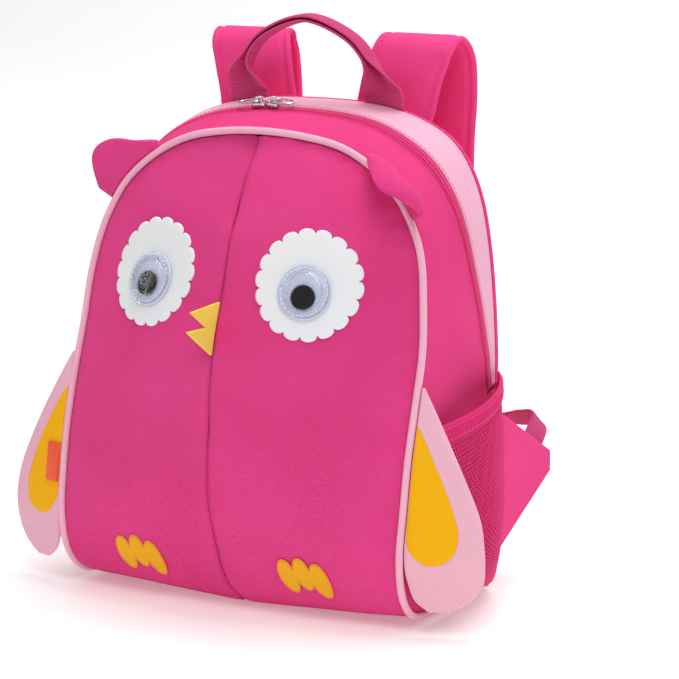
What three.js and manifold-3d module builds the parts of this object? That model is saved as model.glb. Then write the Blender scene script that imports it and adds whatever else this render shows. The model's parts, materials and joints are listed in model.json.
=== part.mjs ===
// A toddler's backpack with an owl face. Millimetres, +Z up, the face looks along -Y and +X is on the
// viewer's right. The plane y = 0 holds the seam round the back panel while the pieces are made, and the
// finished group is moved so that its box stands centred on the origin.
//
// Every cloth piece is a thin closed shell over a surface of two parameters. The body's surfaces hang on
// four seams: the keel down the middle of the face, the piping round the face, the zip and the rear seam.

import * as THREE from 'three';
import { mergeVertices } from 'three/addons/utils/BufferGeometryUtils.js';
import Module from 'manifold-3d';

// Body
const bodyHalfWidth = 106;
const bodyHeight = 266;
const bodyDepth = 125;
const faceWall = 2.2;
const faceRidge = 0.6;
const keelGap = 0.8;
const bandWall = 1.8;
const bandBulge = 3;
const seamTuckDepth = 1.6;
const seamTuckWidth = 5;
const pipingRadius = 2;
const seamGap = 0.4;

// Zip
const zipTapeWidth = 8;
const zipTapeWall = 1;
const zipCoilRise = 0.9;
const sliderMeetX = -13;
const sliderLength = 8;
const sliderWidth = 6.4;
const sliderWall = 2;
const bridgeWall = 1.1;
const bridgeWidth = 1.8;
const bridgeClearance = 0.4;
const pullLength = 14.5;
const pullWidth = 8.4;
const pullBar = 1.5;
const pullWall = 1.2;
const pullDroopDegrees = 5;

// Back panel
const backWall = 2.6;
const backPadding = 4;
const backOverlap = 0.5;

// Face pieces
const eyeSpacing = 99.4;
const eyeHeight = 178.5;
const eyePatchRadius = 30;
const eyePatchLobes = 18;
const eyePatchScallop = 2.9;
const eyePatchWall = 1;
const eyeDrop = 4;
const eyeInset = 1.5;
const eyeBaseRadius = 14.6;
const eyeBaseWall = 0.9;
const blisterRadius = 10.6;
const blisterHeight = 4.6;
const blisterWall = 0.6;
const flangeWall = 0.9;
const pupilRadius = 6.7;
const pupilWall = 1.5;
const pupilClearance = 0.35;
const beakReach = 26;
const beakTop = 167.6;
const beakHeight = 27.2;
const beakWall = 1.8;
const footSpacing = 105;
const footHeight = 26;
const footWidth = 31;
const footRise = 21;
const footWall = 0.9;
const patchLift = 0.35;

// Ears and wings
const earReach = 24;
const earWall = 3.2;
const wingTop = 128;
const wingDrop = 114.5;
const wingReach = 42;
const wingSweepDegrees = 21.5;
const wingEdgeWall = 2.2;
const wingPuff = 3.4;
const tagHeight = 21;
const tagReach = 9;
const tagWall = 1.2;
const tagTop = 79;

// Side pockets
const pocketWall = 1.2;
const pocketBulge = 19;
const hemStandOff = 13;
const hemHeight = 8.5;
const hemWall = 2;
const pocketInset = 3.4;

// Carry handle
const handleSpacing = 85;
const handleRise = 46;
const handleWebWidth = 24;
const handleWebWall = 1.7;
const handleLean = 5;
const handleFoldDegrees = 84;

// Shoulder straps
const strapWidth = 48;
const strapWall = 6;
const strapEndWidth = 26;
const strapEndWall = 3.4;
const webWidth = 20;
const webWall = 1.4;
const buckleWidth = 27;
const buckleHeight = 24;
const buckleWall = 3;
const buckleBar = 3;
const webTail = 42;
const tabTop = 100;
const tabBottom = 20;
const tabReach = 52;
const tabSplay = 5;
const tabWall = 2.2;
const tabTipRise = 20;

const white = '#e9ebee';
const palePink = '#f6bcd6';
const hotPink = '#ea3f8c';
const deepPink = '#d92f7b';
const amber = '#f0ae1a';

const V = (x, y, z) => new THREE.Vector3(x, y, z);
const { lerp, clamp, degToRad } = THREE.MathUtils;
const range = (count) => Array.from({ length: count + 1 }, (unused, i) => i / count);

// Station by station down one half of the body. across is a share of the half width, fore of the depth
// (0 at the rear seam, 1 at the foremost swell), up of the height. turn is how far the face has turned
// under the bag, in degrees, and zip is where the zip lies between the piping and the rear seam.
const stations = [
  { piping: [0.000, 0.552, 0.953], keel: [0.564, 0.945], rear: [0.000, 0.080, 1.000], turn: 0, zip: 0.50 },
  { piping: [0.236, 0.544, 0.947], keel: [0.600, 0.915], rear: [0.245, 0.080, 0.998], turn: 0, zip: 0.50 },
  { piping: [0.453, 0.528, 0.929], keel: [0.672, 0.868], rear: [0.462, 0.076, 0.987], turn: 0, zip: 0.50 },
  { piping: [0.642, 0.536, 0.891], keel: [0.744, 0.808], rear: [0.651, 0.080, 0.964], turn: 0, zip: 0.50 },
  { piping: [0.792, 0.552, 0.838], keel: [0.808, 0.748], rear: [0.792, 0.072, 0.929], turn: 0, zip: 0.52 },
  { piping: [0.887, 0.564, 0.778], keel: [0.848, 0.692], rear: [0.882, 0.056, 0.876], turn: 0, zip: 0.55 },
  { piping: [0.943, 0.584, 0.718], keel: [0.888, 0.632], rear: [0.939, 0.036, 0.805], turn: 0, zip: 0.59 },
  { piping: [0.976, 0.620, 0.639], keel: [0.944, 0.558], rear: [0.972, 0.020, 0.714], turn: 0, zip: 0.66 },
  { piping: [0.995, 0.656, 0.545], keel: [0.976, 0.481], rear: [0.991, 0.008, 0.609], turn: 0, zip: 0.76 },
  { piping: [1.000, 0.720, 0.451], keel: [0.988, 0.402], rear: [1.000, 0.000, 0.504], turn: 0, zip: 0.865 },
  { piping: [1.000, 0.784, 0.346], keel: [1.000, 0.323], rear: [1.000, 0.000, 0.436], turn: 0, zip: 0.92 },
  { piping: [1.000, 0.824, 0.248], keel: [0.996, 0.237], rear: [1.000, 0.000, 0.383], turn: 0, zip: 0.92 },
  { piping: [0.995, 0.848, 0.158], keel: [0.952, 0.165], rear: [1.000, 0.000, 0.338], turn: 6, zip: 0.92 },
  { piping: [0.990, 0.816, 0.079], keel: [0.884, 0.086], rear: [0.998, 0.000, 0.293], turn: 28, zip: 0.92 },
  { piping: [0.981, 0.712, 0.028], keel: [0.784, 0.030], rear: [0.995, 0.000, 0.241], turn: 60, zip: 0.92 },
  { piping: [0.972, 0.544, 0.015], keel: [0.624, -0.008], rear: [0.990, 0.000, 0.180], turn: 85, zip: 0.92 },
  { piping: [0.962, 0.288, 0.015], keel: [0.360, -0.011], rear: [0.980, 0.000, 0.105], turn: 90, zip: 0.92 },
  { piping: [0.953, 0.008, 0.015], keel: [0.008, -0.011], rear: [0.957, 0.000, 0.008], turn: 90, zip: 0.92 },
];
const lastStation = stations.length - 1;
const zipEnd = 10;
const bandEnd = lastStation - 0.3;
const hemStation = 9.6;

// The stations at which the face and its piping are drawn, closer together round the corners.
const faceRows = [
  0.12, 0.6, 1.3, 1.9, 2.5, 3.1, 3.7, 4.3, 4.9, 5.5, 6.2, 7, 8, 9, 10, 10.9, 11.6, 12.2, 12.7, 13.1, 13.5,
  13.9, 14.3, 14.7, 15.1, 15.6, 16.3, lastStation,
];

const shareVector = ([across, fore, up]) => V(across * bodyHalfWidth, -fore * bodyDepth, up * bodyHeight);

function loopSeam(column) {
  const right = stations.map((station) => shareVector(station[column]));
  const left = right.slice(1).reverse().map((p) => V(-p.x, p.y, p.z));
  return new THREE.CatmullRomCurve3([...left, ...right], false, 'catmullrom', 0.5);
}

const pipingSeam = loopSeam('piping');
const rearSeam = loopSeam('rear');
const keelSeam = new THREE.CatmullRomCurve3(
  stations.map((station) => shareVector([0, ...station.keel])), false, 'catmullrom', 0.5);

// Station s runs from -lastStation at the left foot of the seam over the crown (0) to +lastStation.
const onLoop = (seam, s) => seam.getPoint(clamp((s + lastStation) / (2 * lastStation), 0, 1));
const loopTangent = (seam, s) => seam.getTangent(clamp((s + lastStation) / (2 * lastStation), 0, 1));
const onKeel = (s) => keelSeam.getPoint(clamp(s / lastStation, 0, 1));

function stationValue(s, column) {
  const place = clamp(Math.abs(s), 0, lastStation);
  const below = Math.min(Math.floor(place), lastStation - 1);
  return lerp(stations[below][column], stations[below + 1][column], place - below);
}

// Bisection for a value that falls as its parameter rises.
function solveFalling(value, target, low, high) {
  for (let step = 0; step < 40; step += 1) {
    const middle = (low + high) / 2;
    if (value(middle) > target) low = middle;
    else high = middle;
  }
  return (low + high) / 2;
}

// How far to step along a cloth from a seam so that the cloth's edge clears a round cord in it.
function cordClearance(direction, tangent) {
  const lean = direction.dot(tangent);
  const slant = Math.sqrt(Math.max(1 - lean * lean, 0.12));
  return (pipingRadius + seamGap) / slant;
}

// The face: a skin from the keel (u = 0) to the piping (u = 1), ridged at the keel and rounded down to the
// piping, lower down with a rounder edge, and with a tuck at the keel seam. Its edge lies beside the cord, on the cord's inner side.
const facePuff = (s, u) => (1 - faceRidge * u) * (1 - u ** lerp(5, 10, THREE.MathUtils.smoothstep(s, 7, 10)));

function facePoint(s, u) {
  const turn = degToRad(stationValue(s, 'turn'));
  const outward = V(0, -Math.cos(turn), -Math.sin(turn));
  const inward = loopTangent(pipingSeam, s).cross(outward).normalize();
  const keel = onKeel(s);
  const edge = onLoop(pipingSeam, s).addScaledVector(inward, pipingRadius + seamGap);
  const swell = keel.clone().sub(edge).dot(outward) * (facePuff(s, u) - (1 - u));
  const point = keel.lerp(edge, u).addScaledVector(outward, swell);
  const tuck = seamTuckDepth * Math.exp(-((point.x / (seamTuckWidth / 2)) ** 2));
  point.addScaledVector(outward, -tuck);
  point.z = Math.max(point.z, 0);
  return point;
}

// The band between the piping (v = 0) and the rear seam (v = 1), bulged a little outwards.
function bandPoint(s, v) {
  const tangent = loopTangent(rearSeam, s);
  const outward = V(-tangent.z, 0, tangent.x).normalize();
  const point = onLoop(pipingSeam, s).lerp(onLoop(rearSeam, s), v);
  return point.addScaledVector(outward, bandBulge * 4 * v * (1 - v));
}

const bandLength = (s) => onLoop(pipingSeam, s).distanceTo(onLoop(rearSeam, s));

function bandStart(s) {
  const cord = onLoop(pipingSeam, s);
  const across = onLoop(rearSeam, s).sub(cord).normalize();
  return cordClearance(across, loopTangent(pipingSeam, s)) / bandLength(s);
}

const zipPlace = (s) => stationValue(s, 'zip');
const zipHalf = (s) => zipTapeWidth / 2 / bandLength(s);
const zipSeamGap = (s) => seamGap / bandLength(s);

function backDepth(s, u) {
  const crown = 1 - Math.abs(u) ** 4;
  const ends = Math.sin(Math.PI * clamp(s / lastStation, 0, 1)) ** 0.5;
  return backWall + backPadding * crown * ends;
}

// The outer face of the back panel at a place across and up.
function backFace(x, z) {
  const s = solveFalling((t) => onLoop(rearSeam, t).z, z, 0, lastStation);
  const seam = onLoop(rearSeam, s);
  return seam.y + seamGap + backDepth(s, clamp(x / seam.x, -1, 1));
}

// A frame on the face at a place across and up: the surface point, its outward normal and two tangents.
function faceFrame(x, z) {
  const side = Math.sign(x);
  const across = Math.abs(x);
  const share = (s) => across / onLoop(pipingSeam, s).x;
  const at = (px, pz) => {
    const s = solveFalling((t) => facePoint(t, Math.abs(px) / onLoop(pipingSeam, t).x).z, pz, 2, 14.5);
    const point = facePoint(s, Math.abs(px) / onLoop(pipingSeam, s).x);
    return V(side * point.x, point.y, point.z);
  };
  const low = Math.max(z - 0.5, 1);
  const right = at(across + 0.5, z).sub(at(across - 0.5, z));
  const up = at(across, z + 0.5).sub(at(across, low));
  right.multiplyScalar(side);
  const normal = V(0, 0, 0).crossVectors(right, up).normalize();
  up.normalize();
  right.crossVectors(up, normal).normalize();
  return { point: at(across, z), normal, up, right, share };
}

const onFace = (x, z, lift) => {
  const frame = faceFrame(x, z);
  return frame.point.addScaledVector(frame.normal, lift);
};

// Makes one closed body: merges shared corners, drops empty triangles and turns the faces outwards.
function closedBody(geometry) {
  const bare = geometry.index ? geometry.toNonIndexed() : geometry;
  bare.deleteAttribute('normal');
  bare.deleteAttribute('uv');
  const merged = mergeVertices(bare, 1e-3);
  const corners = merged.getIndex().array;
  const position = merged.getAttribute('position');
  const kept = [];
  let volume = 0;
  const a = V(0, 0, 0);
  const b = V(0, 0, 0);
  const c = V(0, 0, 0);
  for (let i = 0; i < corners.length; i += 3) {
    const [p, q, r] = [corners[i], corners[i + 1], corners[i + 2]];
    if (p === q || q === r || r === p) continue;
    kept.push(p, q, r);
    a.fromBufferAttribute(position, p);
    b.fromBufferAttribute(position, q);
    c.fromBufferAttribute(position, r);
    volume += a.dot(b.clone().cross(c));
  }
  if (volume < 0) kept.reverse();
  merged.setIndex(kept);
  merged.computeVertexNormals();
  return merged;
}

// A thin closed shell over point(row, column). above and below are the wall on each side of the surface,
// and a cell for which hole(i, j) is true is left out with walls round it.
function shell({ rows, columns, point, above, below, normal, hole = () => false }) {
  const nudge = 1e-3;
  const slope = (f, t, low, high) => {
    const step = nudge * (high - low);
    return f(Math.min(t + step, high)).sub(f(Math.max(t - step, low)));
  };
  const [rowLow, rowHigh] = [rows[0], rows[rows.length - 1]];
  const [columnLow, columnHigh] = [columns[0], columns[columns.length - 1]];
  const normalAt = (row, column) => {
    const inside = clamp(row, rowLow + 2 * nudge * (rowHigh - rowLow), rowHigh - 2 * nudge * (rowHigh - rowLow));
    const alongRow = slope((t) => point(t, column), inside, rowLow, rowHigh);
    const alongColumn = slope((t) => point(inside, t), column, columnLow, columnHigh);
    return alongRow.cross(alongColumn).normalize();
  };
  const find = normal ?? normalAt;
  const flip = normal ? 1 : shellSide(point, normalAt, rows, columns);
  const over = [];
  const under = [];
  rows.forEach((row) => {
    columns.forEach((column) => {
      const place = point(row, column);
      const out = find(row, column).multiplyScalar(flip);
      over.push(place.clone().addScaledVector(out, above(row, column)));
      under.push(place.clone().addScaledVector(out, -below(row, column)));
    });
  });
  const width = columns.length;
  const triangles = [];
  const quad = (a, b, c, d) => triangles.push(a, b, c, a, c, d);
  const solid = (i, j) => i >= 0 && j >= 0 && i < rows.length - 1 && j < width - 1 && !hole(i, j);
  for (let i = 0; i < rows.length - 1; i += 1) {
    for (let j = 0; j < width - 1; j += 1) {
      if (!solid(i, j)) continue;
      const [p, q, r, s] = [i * width + j, i * width + j + 1, (i + 1) * width + j + 1, (i + 1) * width + j];
      quad(over[p], over[q], over[r], over[s]);
      quad(under[s], under[r], under[q], under[p]);
      if (!solid(i - 1, j)) quad(over[q], over[p], under[p], under[q]);
      if (!solid(i, j + 1)) quad(over[r], over[q], under[q], under[r]);
      if (!solid(i + 1, j)) quad(over[s], over[r], under[r], under[s]);
      if (!solid(i, j - 1)) quad(over[p], over[s], under[s], under[p]);
    }
  }
  return closedBody(new THREE.BufferGeometry().setFromPoints(triangles));
}

// +1 where a surface's own normal points away from the middle of the body at the surface's centre.
function shellSide(point, normalAt, rows, columns) {
  const row = (rows[0] + rows[rows.length - 1]) / 2;
  const column = (columns[0] + columns[columns.length - 1]) / 2;
  const fromCore = point(row, column).sub(V(0, -0.45 * bodyDepth, 0.45 * bodyHeight));
  return Math.sign(normalAt(row, column).dot(fromCore)) || 1;
}

const wall = (thickness) => () => thickness;

// A solid through a row of rings with as many corners each, closed flat at both ends.
function loft(rings) {
  const triangles = [];
  const around = rings[0].length;
  rings.slice(1).forEach((ring, i) => {
    for (let j = 0; j < around; j += 1) {
      const [a, b] = [rings[i][j], rings[i][(j + 1) % around]];
      const [c, d] = [ring[(j + 1) % around], ring[j]];
      triangles.push(a, b, c, a, c, d);
    }
  });
  const last = rings[rings.length - 1];
  for (let j = 1; j < around - 1; j += 1) {
    triangles.push(rings[0][0], rings[0][j + 1], rings[0][j]);
    triangles.push(last[0], last[j], last[j + 1]);
  }
  return closedBody(new THREE.BufferGeometry().setFromPoints(triangles));
}

// A flat band of cloth along a path: side(t) is its width direction, and half(t) half its width.
function ribbon({ path, side, half, thickness, steps, across }) {
  const point = (t, v) => path(t).addScaledVector(side(t), v * half(t));
  return shell({
    rows: range(steps),
    columns: across,
    point,
    above: (t, v) => thickness(t, v) / 2,
    below: (t, v) => thickness(t, v) / 2,
  });
}

// Mirrors a geometry to the other side of the body.
function mirrored(geometry) {
  const copy = geometry.clone();
  copy.scale(-1, 1, 1);
  return closedBody(copy);
}

// Places a geometry made in a frame's own axes: x along right, y along up, z along normal.
function inFrame(geometry, { point, right, up, normal }) {
  const matrix = new THREE.Matrix4().makeBasis(right, up, normal).setPosition(point);
  return closedBody(geometry.applyMatrix4(matrix));
}

const wasm = await Module();
wasm.setup();

function joined(first, second) {
  const toSolid = (geometry) => {
    const body = closedBody(geometry);
    return new wasm.Manifold(new wasm.Mesh({
      numProp: 3,
      vertProperties: new Float32Array(body.getAttribute('position').array),
      triVerts: new Uint32Array(body.getIndex().array),
    }));
  };
  const mesh = toSolid(first).add(toSolid(second)).getMesh();
  const geometry = new THREE.BufferGeometry();
  geometry.setAttribute('position', new THREE.BufferAttribute(mesh.vertProperties, 3));
  geometry.setIndex(new THREE.BufferAttribute(mesh.triVerts, 1));
  return geometry;
}

const model = new THREE.Group();

function addPiece(name, geometry, color, roughness = 0.85, metalness = 0, opacity = 1) {
  const material = new THREE.MeshStandardMaterial({ color, roughness, metalness });
  if (opacity < 1) {
    material.transparent = true;
    material.opacity = opacity;
  }
  const mesh = new THREE.Mesh(geometry, material);
  mesh.name = name;
  model.add(mesh);
}

function addPair(name, geometry, ...finish) {
  addPiece(`${name}_right`, geometry, ...finish);
  addPiece(`${name}_left`, mirrored(geometry), ...finish);
}

// Face halves. They wrap under the bag and are its bottom too.
function facePanel() {
  const columns = [0, 0.02, 0.05, 0.11, 0.24, 0.4, 0.56, 0.7, 0.82, 0.91, 0.97, 1];
  const point = (s, c) => {
    const seamX = onLoop(pipingSeam, s).x;
    return facePoint(s, lerp(Math.min(keelGap / 2 / Math.max(seamX, 1), 0.4), 1, c));
  };
  return shell({ rows: faceRows, columns, point, above: wall(0), below: wall(faceWall) });
}
addPair('front_panel', facePanel(), hotPink);

// Piping: a cord round the face, along the seam from one rear corner over the crown to the other.
function pipingCord() {
  const places = [...faceRows.slice().reverse().map((s) => -s), 0, ...faceRows];
  const rings = places.map((s) => {
    const tangent = loopTangent(pipingSeam, s);
    const inward = V(0, 1, 0).addScaledVector(tangent, -tangent.y).normalize();
    const side = inward.clone().cross(tangent);
    return range(7).slice(0, 7).map((t) => onLoop(pipingSeam, s)
      .addScaledVector(inward, pipingRadius * Math.cos(2 * Math.PI * t))
      .addScaledVector(side, pipingRadius * Math.sin(2 * Math.PI * t)));
  });
  return loft(rings);
}
addPiece('piping', pipingCord(), palePink);

// Bands
const loopRows = (end, count) => range(count).map((t) => lerp(-end, end, t));

function frontBand() {
  const past = zipEnd + 0.25;
  const rows = [...range(10).map((t) => lerp(-bandEnd, -past, t)), ...loopRows(zipEnd, 34),
    ...range(10).map((t) => lerp(past, bandEnd, t))];
  const point = (s, c) => {
    const edge = Math.abs(s) > zipEnd + 0.1 ? 1 : zipPlace(s) - zipHalf(s) - zipSeamGap(s);
    return bandPoint(s, lerp(bandStart(s), edge, c));
  };
  return shell({ rows, columns: range(4), point, above: wall(0), below: wall(bandWall) });
}
addPiece('front_gusset', frontBand(), hotPink);

function zipStrip() {
  const rise = (s, c) => (Math.abs(c) < 0.6 ? zipCoilRise : 0);
  const point = (s, c) => bandPoint(s, zipPlace(s) + c * zipHalf(s));
  return shell({
    rows: loopRows(zipEnd, 40),
    columns: [-1, -0.62, -0.4, 0.4, 0.62, 1],
    point,
    above: rise,
    below: wall(zipTapeWall),
  });
}
addPiece('zip', zipStrip(), deepPink);

function rearBand() {
  const point = (s, c) => bandPoint(s, lerp(zipPlace(s) + zipHalf(s) + zipSeamGap(s), 1, c));
  return shell({ rows: loopRows(zipEnd, 40), columns: range(3), point, above: wall(0), below: wall(bandWall) });
}
addPiece('rear_gusset', rearBand(), palePink);

function backPanel() {
  const point = (s, u) => {
    const seam = onLoop(rearSeam, s);
    const grown = 1 + backOverlap / bodyHalfWidth;
    return V(u * seam.x * grown, seam.y + seamGap, seam.z + backOverlap * (1 - s / lastStation * 2) / 2);
  };
  return shell({
    rows: range(20).map((t) => lastStation * t ** 0.9),
    columns: [-1, -0.92, -0.76, -0.5, -0.2, 0.2, 0.5, 0.76, 0.92, 1],
    point,
    above: backDepth,
    below: wall(0),
    normal: () => V(0, 1, 0),
  });
}
addPiece('back_panel', backPanel(), deepPink);

// Zip sliders: two that meet nose to nose, each with an oval ring through its bridge.
function zipFrame(x) {
  const s = solveFalling((t) => -bandPoint(t, zipPlace(t)).x, -x, -3, 3);
  const along = bandPoint(s + 0.05, zipPlace(s)).sub(bandPoint(s - 0.05, zipPlace(s))).normalize();
  const across = bandPoint(s, zipPlace(s) + 0.05).sub(bandPoint(s, zipPlace(s) - 0.05));
  const normal = V(0, 0, 0).crossVectors(along, across).normalize();
  across.crossVectors(normal, along).normalize();
  return { point: bandPoint(s, zipPlace(s)), right: along, up: across, normal };
}

const bridgeGap = Math.hypot(pullBar, pullWall) + bridgeClearance;
const bridgeFoot = zipCoilRise + seamGap + sliderWall;
const bridgeReach = bridgeGap + 2 * bridgeWall;

// In the frame's axes: x along the zip, y across it, z off the cloth.
function sliderSolid() {
  const body = new THREE.Shape();
  const half = sliderLength / 2;
  const nose = sliderWidth * 0.32;
  body.moveTo(-half, -nose);
  body.quadraticCurveTo(0, -sliderWidth / 2, half, -sliderWidth / 2);
  body.lineTo(half, sliderWidth / 2);
  body.quadraticCurveTo(0, sliderWidth / 2, -half, nose);
  body.lineTo(-half, -nose);
  const plate = new THREE.ExtrudeGeometry(body, { depth: sliderWall, bevelEnabled: false, curveSegments: 4 });
  plate.translate(0, 0, zipCoilRise + seamGap);
  const arch = new THREE.Shape();
  const top = bridgeGap + bridgeWall;
  arch.moveTo(-bridgeReach / 2, -0.3);
  arch.lineTo(-bridgeReach / 2, top * 0.7);
  arch.quadraticCurveTo(-bridgeReach / 2, top, 0, top);
  arch.quadraticCurveTo(bridgeReach / 2, top, bridgeReach / 2, top * 0.7);
  arch.lineTo(bridgeReach / 2, -0.3);
  arch.lineTo(bridgeGap / 2, -0.3);
  arch.lineTo(bridgeGap / 2, bridgeGap);
  arch.lineTo(-bridgeGap / 2, bridgeGap);
  arch.lineTo(-bridgeGap / 2, -0.3);
  arch.lineTo(-bridgeReach / 2, -0.3);
  const bridge = new THREE.ExtrudeGeometry(arch, { depth: bridgeWidth, bevelEnabled: false, curveSegments: 3 });
  bridge.rotateX(Math.PI / 2);
  bridge.translate(0, bridgeWidth / 2, bridgeFoot);
  return joined(plate, bridge);
}

function pullSolid() {
  const halfLength = pullLength / 2;
  const halfWidth = pullWidth / 2;
  const oval = new THREE.Shape().absellipse(halfLength - pullBar / 2, 0, halfLength, halfWidth, 0, 2 * Math.PI);
  const hole = new THREE.Path();
  hole.absellipse(halfLength - pullBar / 2, 0, halfLength - pullBar, halfWidth - pullBar, 0, 2 * Math.PI);
  oval.holes.push(hole);
  const ring = new THREE.ExtrudeGeometry(oval, { depth: pullWall, bevelEnabled: false, curveSegments: 9 });
  ring.translate(0, 0, -pullWall / 2);
  ring.rotateY(degToRad(pullDroopDegrees));
  return ring;
}

[['left', -1], ['right', 1]].forEach(([name, side]) => {
  const frame = zipFrame(sliderMeetX + side * (sliderLength / 2 + seamGap / 2));
  const turned = { ...frame, right: frame.right.clone().multiplyScalar(side), up: frame.up.clone().multiplyScalar(side) };
  addPiece(`zip_slider_${name}`, inFrame(sliderSolid(), turned), '#c9ccd2', 0.15, 1);
  const hinge = { ...turned, point: turned.point.clone().addScaledVector(turned.normal, bridgeFoot + bridgeGap / 2) };
  addPiece(`zip_pull_${name}`, inFrame(pullSolid(), hinge), '#d5d8de', 0.12, 1);
});

// Eyes
function eyeFrame() {
  return faceFrame(eyeSpacing / 2 - eyeInset, eyeHeight - eyeDrop);
}

// A round-lobed disc that lies on the face: lobes of a circle's arcs, so that each notch is sharp.
function eyePatch() {
  const centre = faceFrame(eyeSpacing / 2, eyeHeight);
  const perLobe = 4;
  const outline = (turn) => {
    const phase = ((turn * eyePatchLobes) % 1 + 1) % 1;
    return eyePatchRadius - eyePatchScallop * (1 - Math.sqrt(Math.max(1 - (2 * phase - 1) ** 2, 0)));
  };
  const point = (turn, share) => {
    const radius = outline(turn) * share;
    const across = radius * Math.sin(2 * Math.PI * turn);
    const up = radius * Math.cos(2 * Math.PI * turn);
    return onFace(
      centre.point.x + across * centre.right.x + up * centre.up.x,
      centre.point.z + across * centre.right.z + up * centre.up.z,
      patchLift,
    );
  };
  return discShell(eyePatchLobes * perLobe, [0.36, 0.7, 1], point, eyePatchWall);
}

// A closed disc of rings round a centre: every second spoke stops at the first ring.
function discShell(spokes, rings, point, thickness) {
  const corner = (turn, share, top) => {
    const place = point(turn, share);
    const frame = faceFrame(place.x, place.z);
    return place.addScaledVector(frame.normal, top ? thickness : 0);
  };
  const triangles = [];
  [true, false].forEach((top) => {
    const grid = rings.map((share, ring) => {
      const count = ring === 0 ? spokes / 2 : spokes;
      return range(count).slice(0, count).map((turn) => corner(turn, share, top));
    });
    const add = (a, b, c) => (top ? triangles.push(a, b, c) : triangles.push(a, c, b));
    const hub = corner(0, 0, top);
    const inner = grid[0].length;
    for (let i = 0; i < inner; i += 1) add(hub, grid[0][i], grid[0][(i + 1) % inner]);
    for (let i = 0; i < inner; i += 1) {
      const [a, b] = [grid[0][i], grid[0][(i + 1) % inner]];
      const [p, q, r] = [0, 1, 2].map((k) => grid[1][(2 * i + k) % spokes]);
      add(a, p, q);
      add(a, q, b);
      add(b, q, r);
    }
    for (let ring = 1; ring < rings.length - 1; ring += 1) {
      for (let i = 0; i < spokes; i += 1) {
        const next = (i + 1) % spokes;
        add(grid[ring][i], grid[ring + 1][i], grid[ring + 1][next]);
        add(grid[ring][i], grid[ring + 1][next], grid[ring][next]);
      }
    }
  });
  for (let i = 0; i < spokes; i += 1) {
    const [t0, t1] = [i / spokes, ((i + 1) % spokes) / spokes];
    const [a, b] = [corner(t0, 1, true), corner(t1, 1, true)];
    const [c, d] = [corner(t0, 1, false), corner(t1, 1, false)];
    triangles.push(b, a, c, b, c, d);
  }
  return closedBody(new THREE.BufferGeometry().setFromPoints(triangles));
}
addPair('eye_patch', eyePatch(), white, 0.7);

// A turned piece in an eye's frame, standing off the patch by lift.
function turnedPiece(profile, segments, lift, frame) {
  const points = profile.map(([radius, height]) => new THREE.Vector2(radius, height));
  const lathe = new THREE.LatheGeometry(points, segments);
  lathe.rotateX(Math.PI / 2);
  lathe.translate(0, 0, lift);
  return inFrame(lathe, frame);
}

const patchTop = patchLift + eyePatchWall + 2 * seamGap;
const baseTop = patchTop + eyeBaseWall;

function eyeBase() {
  const bevel = eyeBaseWall * 0.35;
  return turnedPiece([
    [0, 0], [eyeBaseRadius, 0], [eyeBaseRadius, eyeBaseWall - bevel],
    [eyeBaseRadius - bevel, eyeBaseWall], [0, eyeBaseWall],
  ], 32, patchTop, eyeFrame());
}
addPair('eye_base', eyeBase(), '#d9e0f4', 0.5);

// A blister over a flat flange, open at the back: a short straight wall and a low dome above it.
function eyeDome() {
  const shoulder = blisterHeight * 0.6;
  const dome = (radius, top) => range(5).map((t) => {
    const angle = (t * Math.PI) / 2;
    return [radius * Math.sin(angle), shoulder + (top - shoulder) * Math.cos(angle)];
  });
  const outer = dome(blisterRadius, blisterHeight);
  const inner = dome(blisterRadius - blisterWall, blisterHeight - blisterWall).reverse();
  const flangeRadius = eyeBaseRadius - seamGap;
  return turnedPiece([
    ...outer, [blisterRadius, flangeWall], [flangeRadius, flangeWall], [flangeRadius, 0],
    [blisterRadius - blisterWall, 0], ...inner,
  ], 28, baseTop + seamGap / 2, eyeFrame());
}
addPair('eye_dome', eyeDome(), '#eef3ff', 0.08, 0, 0.35);

function eyePupil() {
  const bevel = pupilWall * 0.25;
  const frame = eyeFrame();
  const drop = blisterRadius - blisterWall - pupilRadius - pupilClearance;
  frame.point.addScaledVector(frame.up, -drop);
  return turnedPiece([
    [0, 0], [pupilRadius - bevel, 0], [pupilRadius, bevel], [pupilRadius, pupilWall - bevel],
    [pupilRadius - bevel, pupilWall], [0, pupilWall],
  ], 24, baseTop + seamGap, frame);
}
addPair('eye_pupil', eyePupil(), '#15151a', 0.3);

// Beak: a felt fin that stands out of the keel seam, with two teeth. reach and down are shares of
// beakReach and beakHeight.
const beakTeeth = [
  { reach: 0.88, down: 0.06 },
  { reach: 0.42, down: 0.43 },
  { reach: 1.0, down: 0.42 },
];

function beakFin() {
  const keelAt = (z) => {
    const s = solveFalling((t) => onKeel(t).z, z, 0.5, 13);
    return onKeel(s).y + 0.85 * seamTuckDepth - seamGap;
  };
  const root = range(5).map((t) => {
    const z = beakTop - t * beakHeight;
    return [keelAt(z), z];
  });
  const base = keelAt(beakTop);
  const teeth = beakTeeth.map(({ reach, down }) => [base - reach * beakReach * 1.24, beakTop - down * beakHeight]);
  const outline = new THREE.Shape([...root, ...teeth.reverse()].map(([y, z]) => new THREE.Vector2(y, z)));
  const fin = new THREE.ExtrudeGeometry(outline, { depth: beakWall, bevelEnabled: false });
  const placed = new THREE.Matrix4().makeBasis(V(0, 1, 0), V(0, 0, 1), V(1, 0, 0));
  return closedBody(fin.applyMatrix4(placed).translate(-beakWall / 2, 0, 0));
}
addPiece('beak', beakFin(), '#f2dd4e', 0.9);

// Feet: three leaning toes side by side. across, up, half width and half height are shares of the
// foot's width and height.
const toes = [
  { across: -0.31, up: -0.02, halfWidth: 0.165, halfHeight: 0.44 },
  { across: -0.01, up: 0.08, halfWidth: 0.16, halfHeight: 0.42 },
  { across: 0.31, up: -0.06, halfWidth: 0.17, halfHeight: 0.46 },
];
const toeLean = -0.2;

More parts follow.
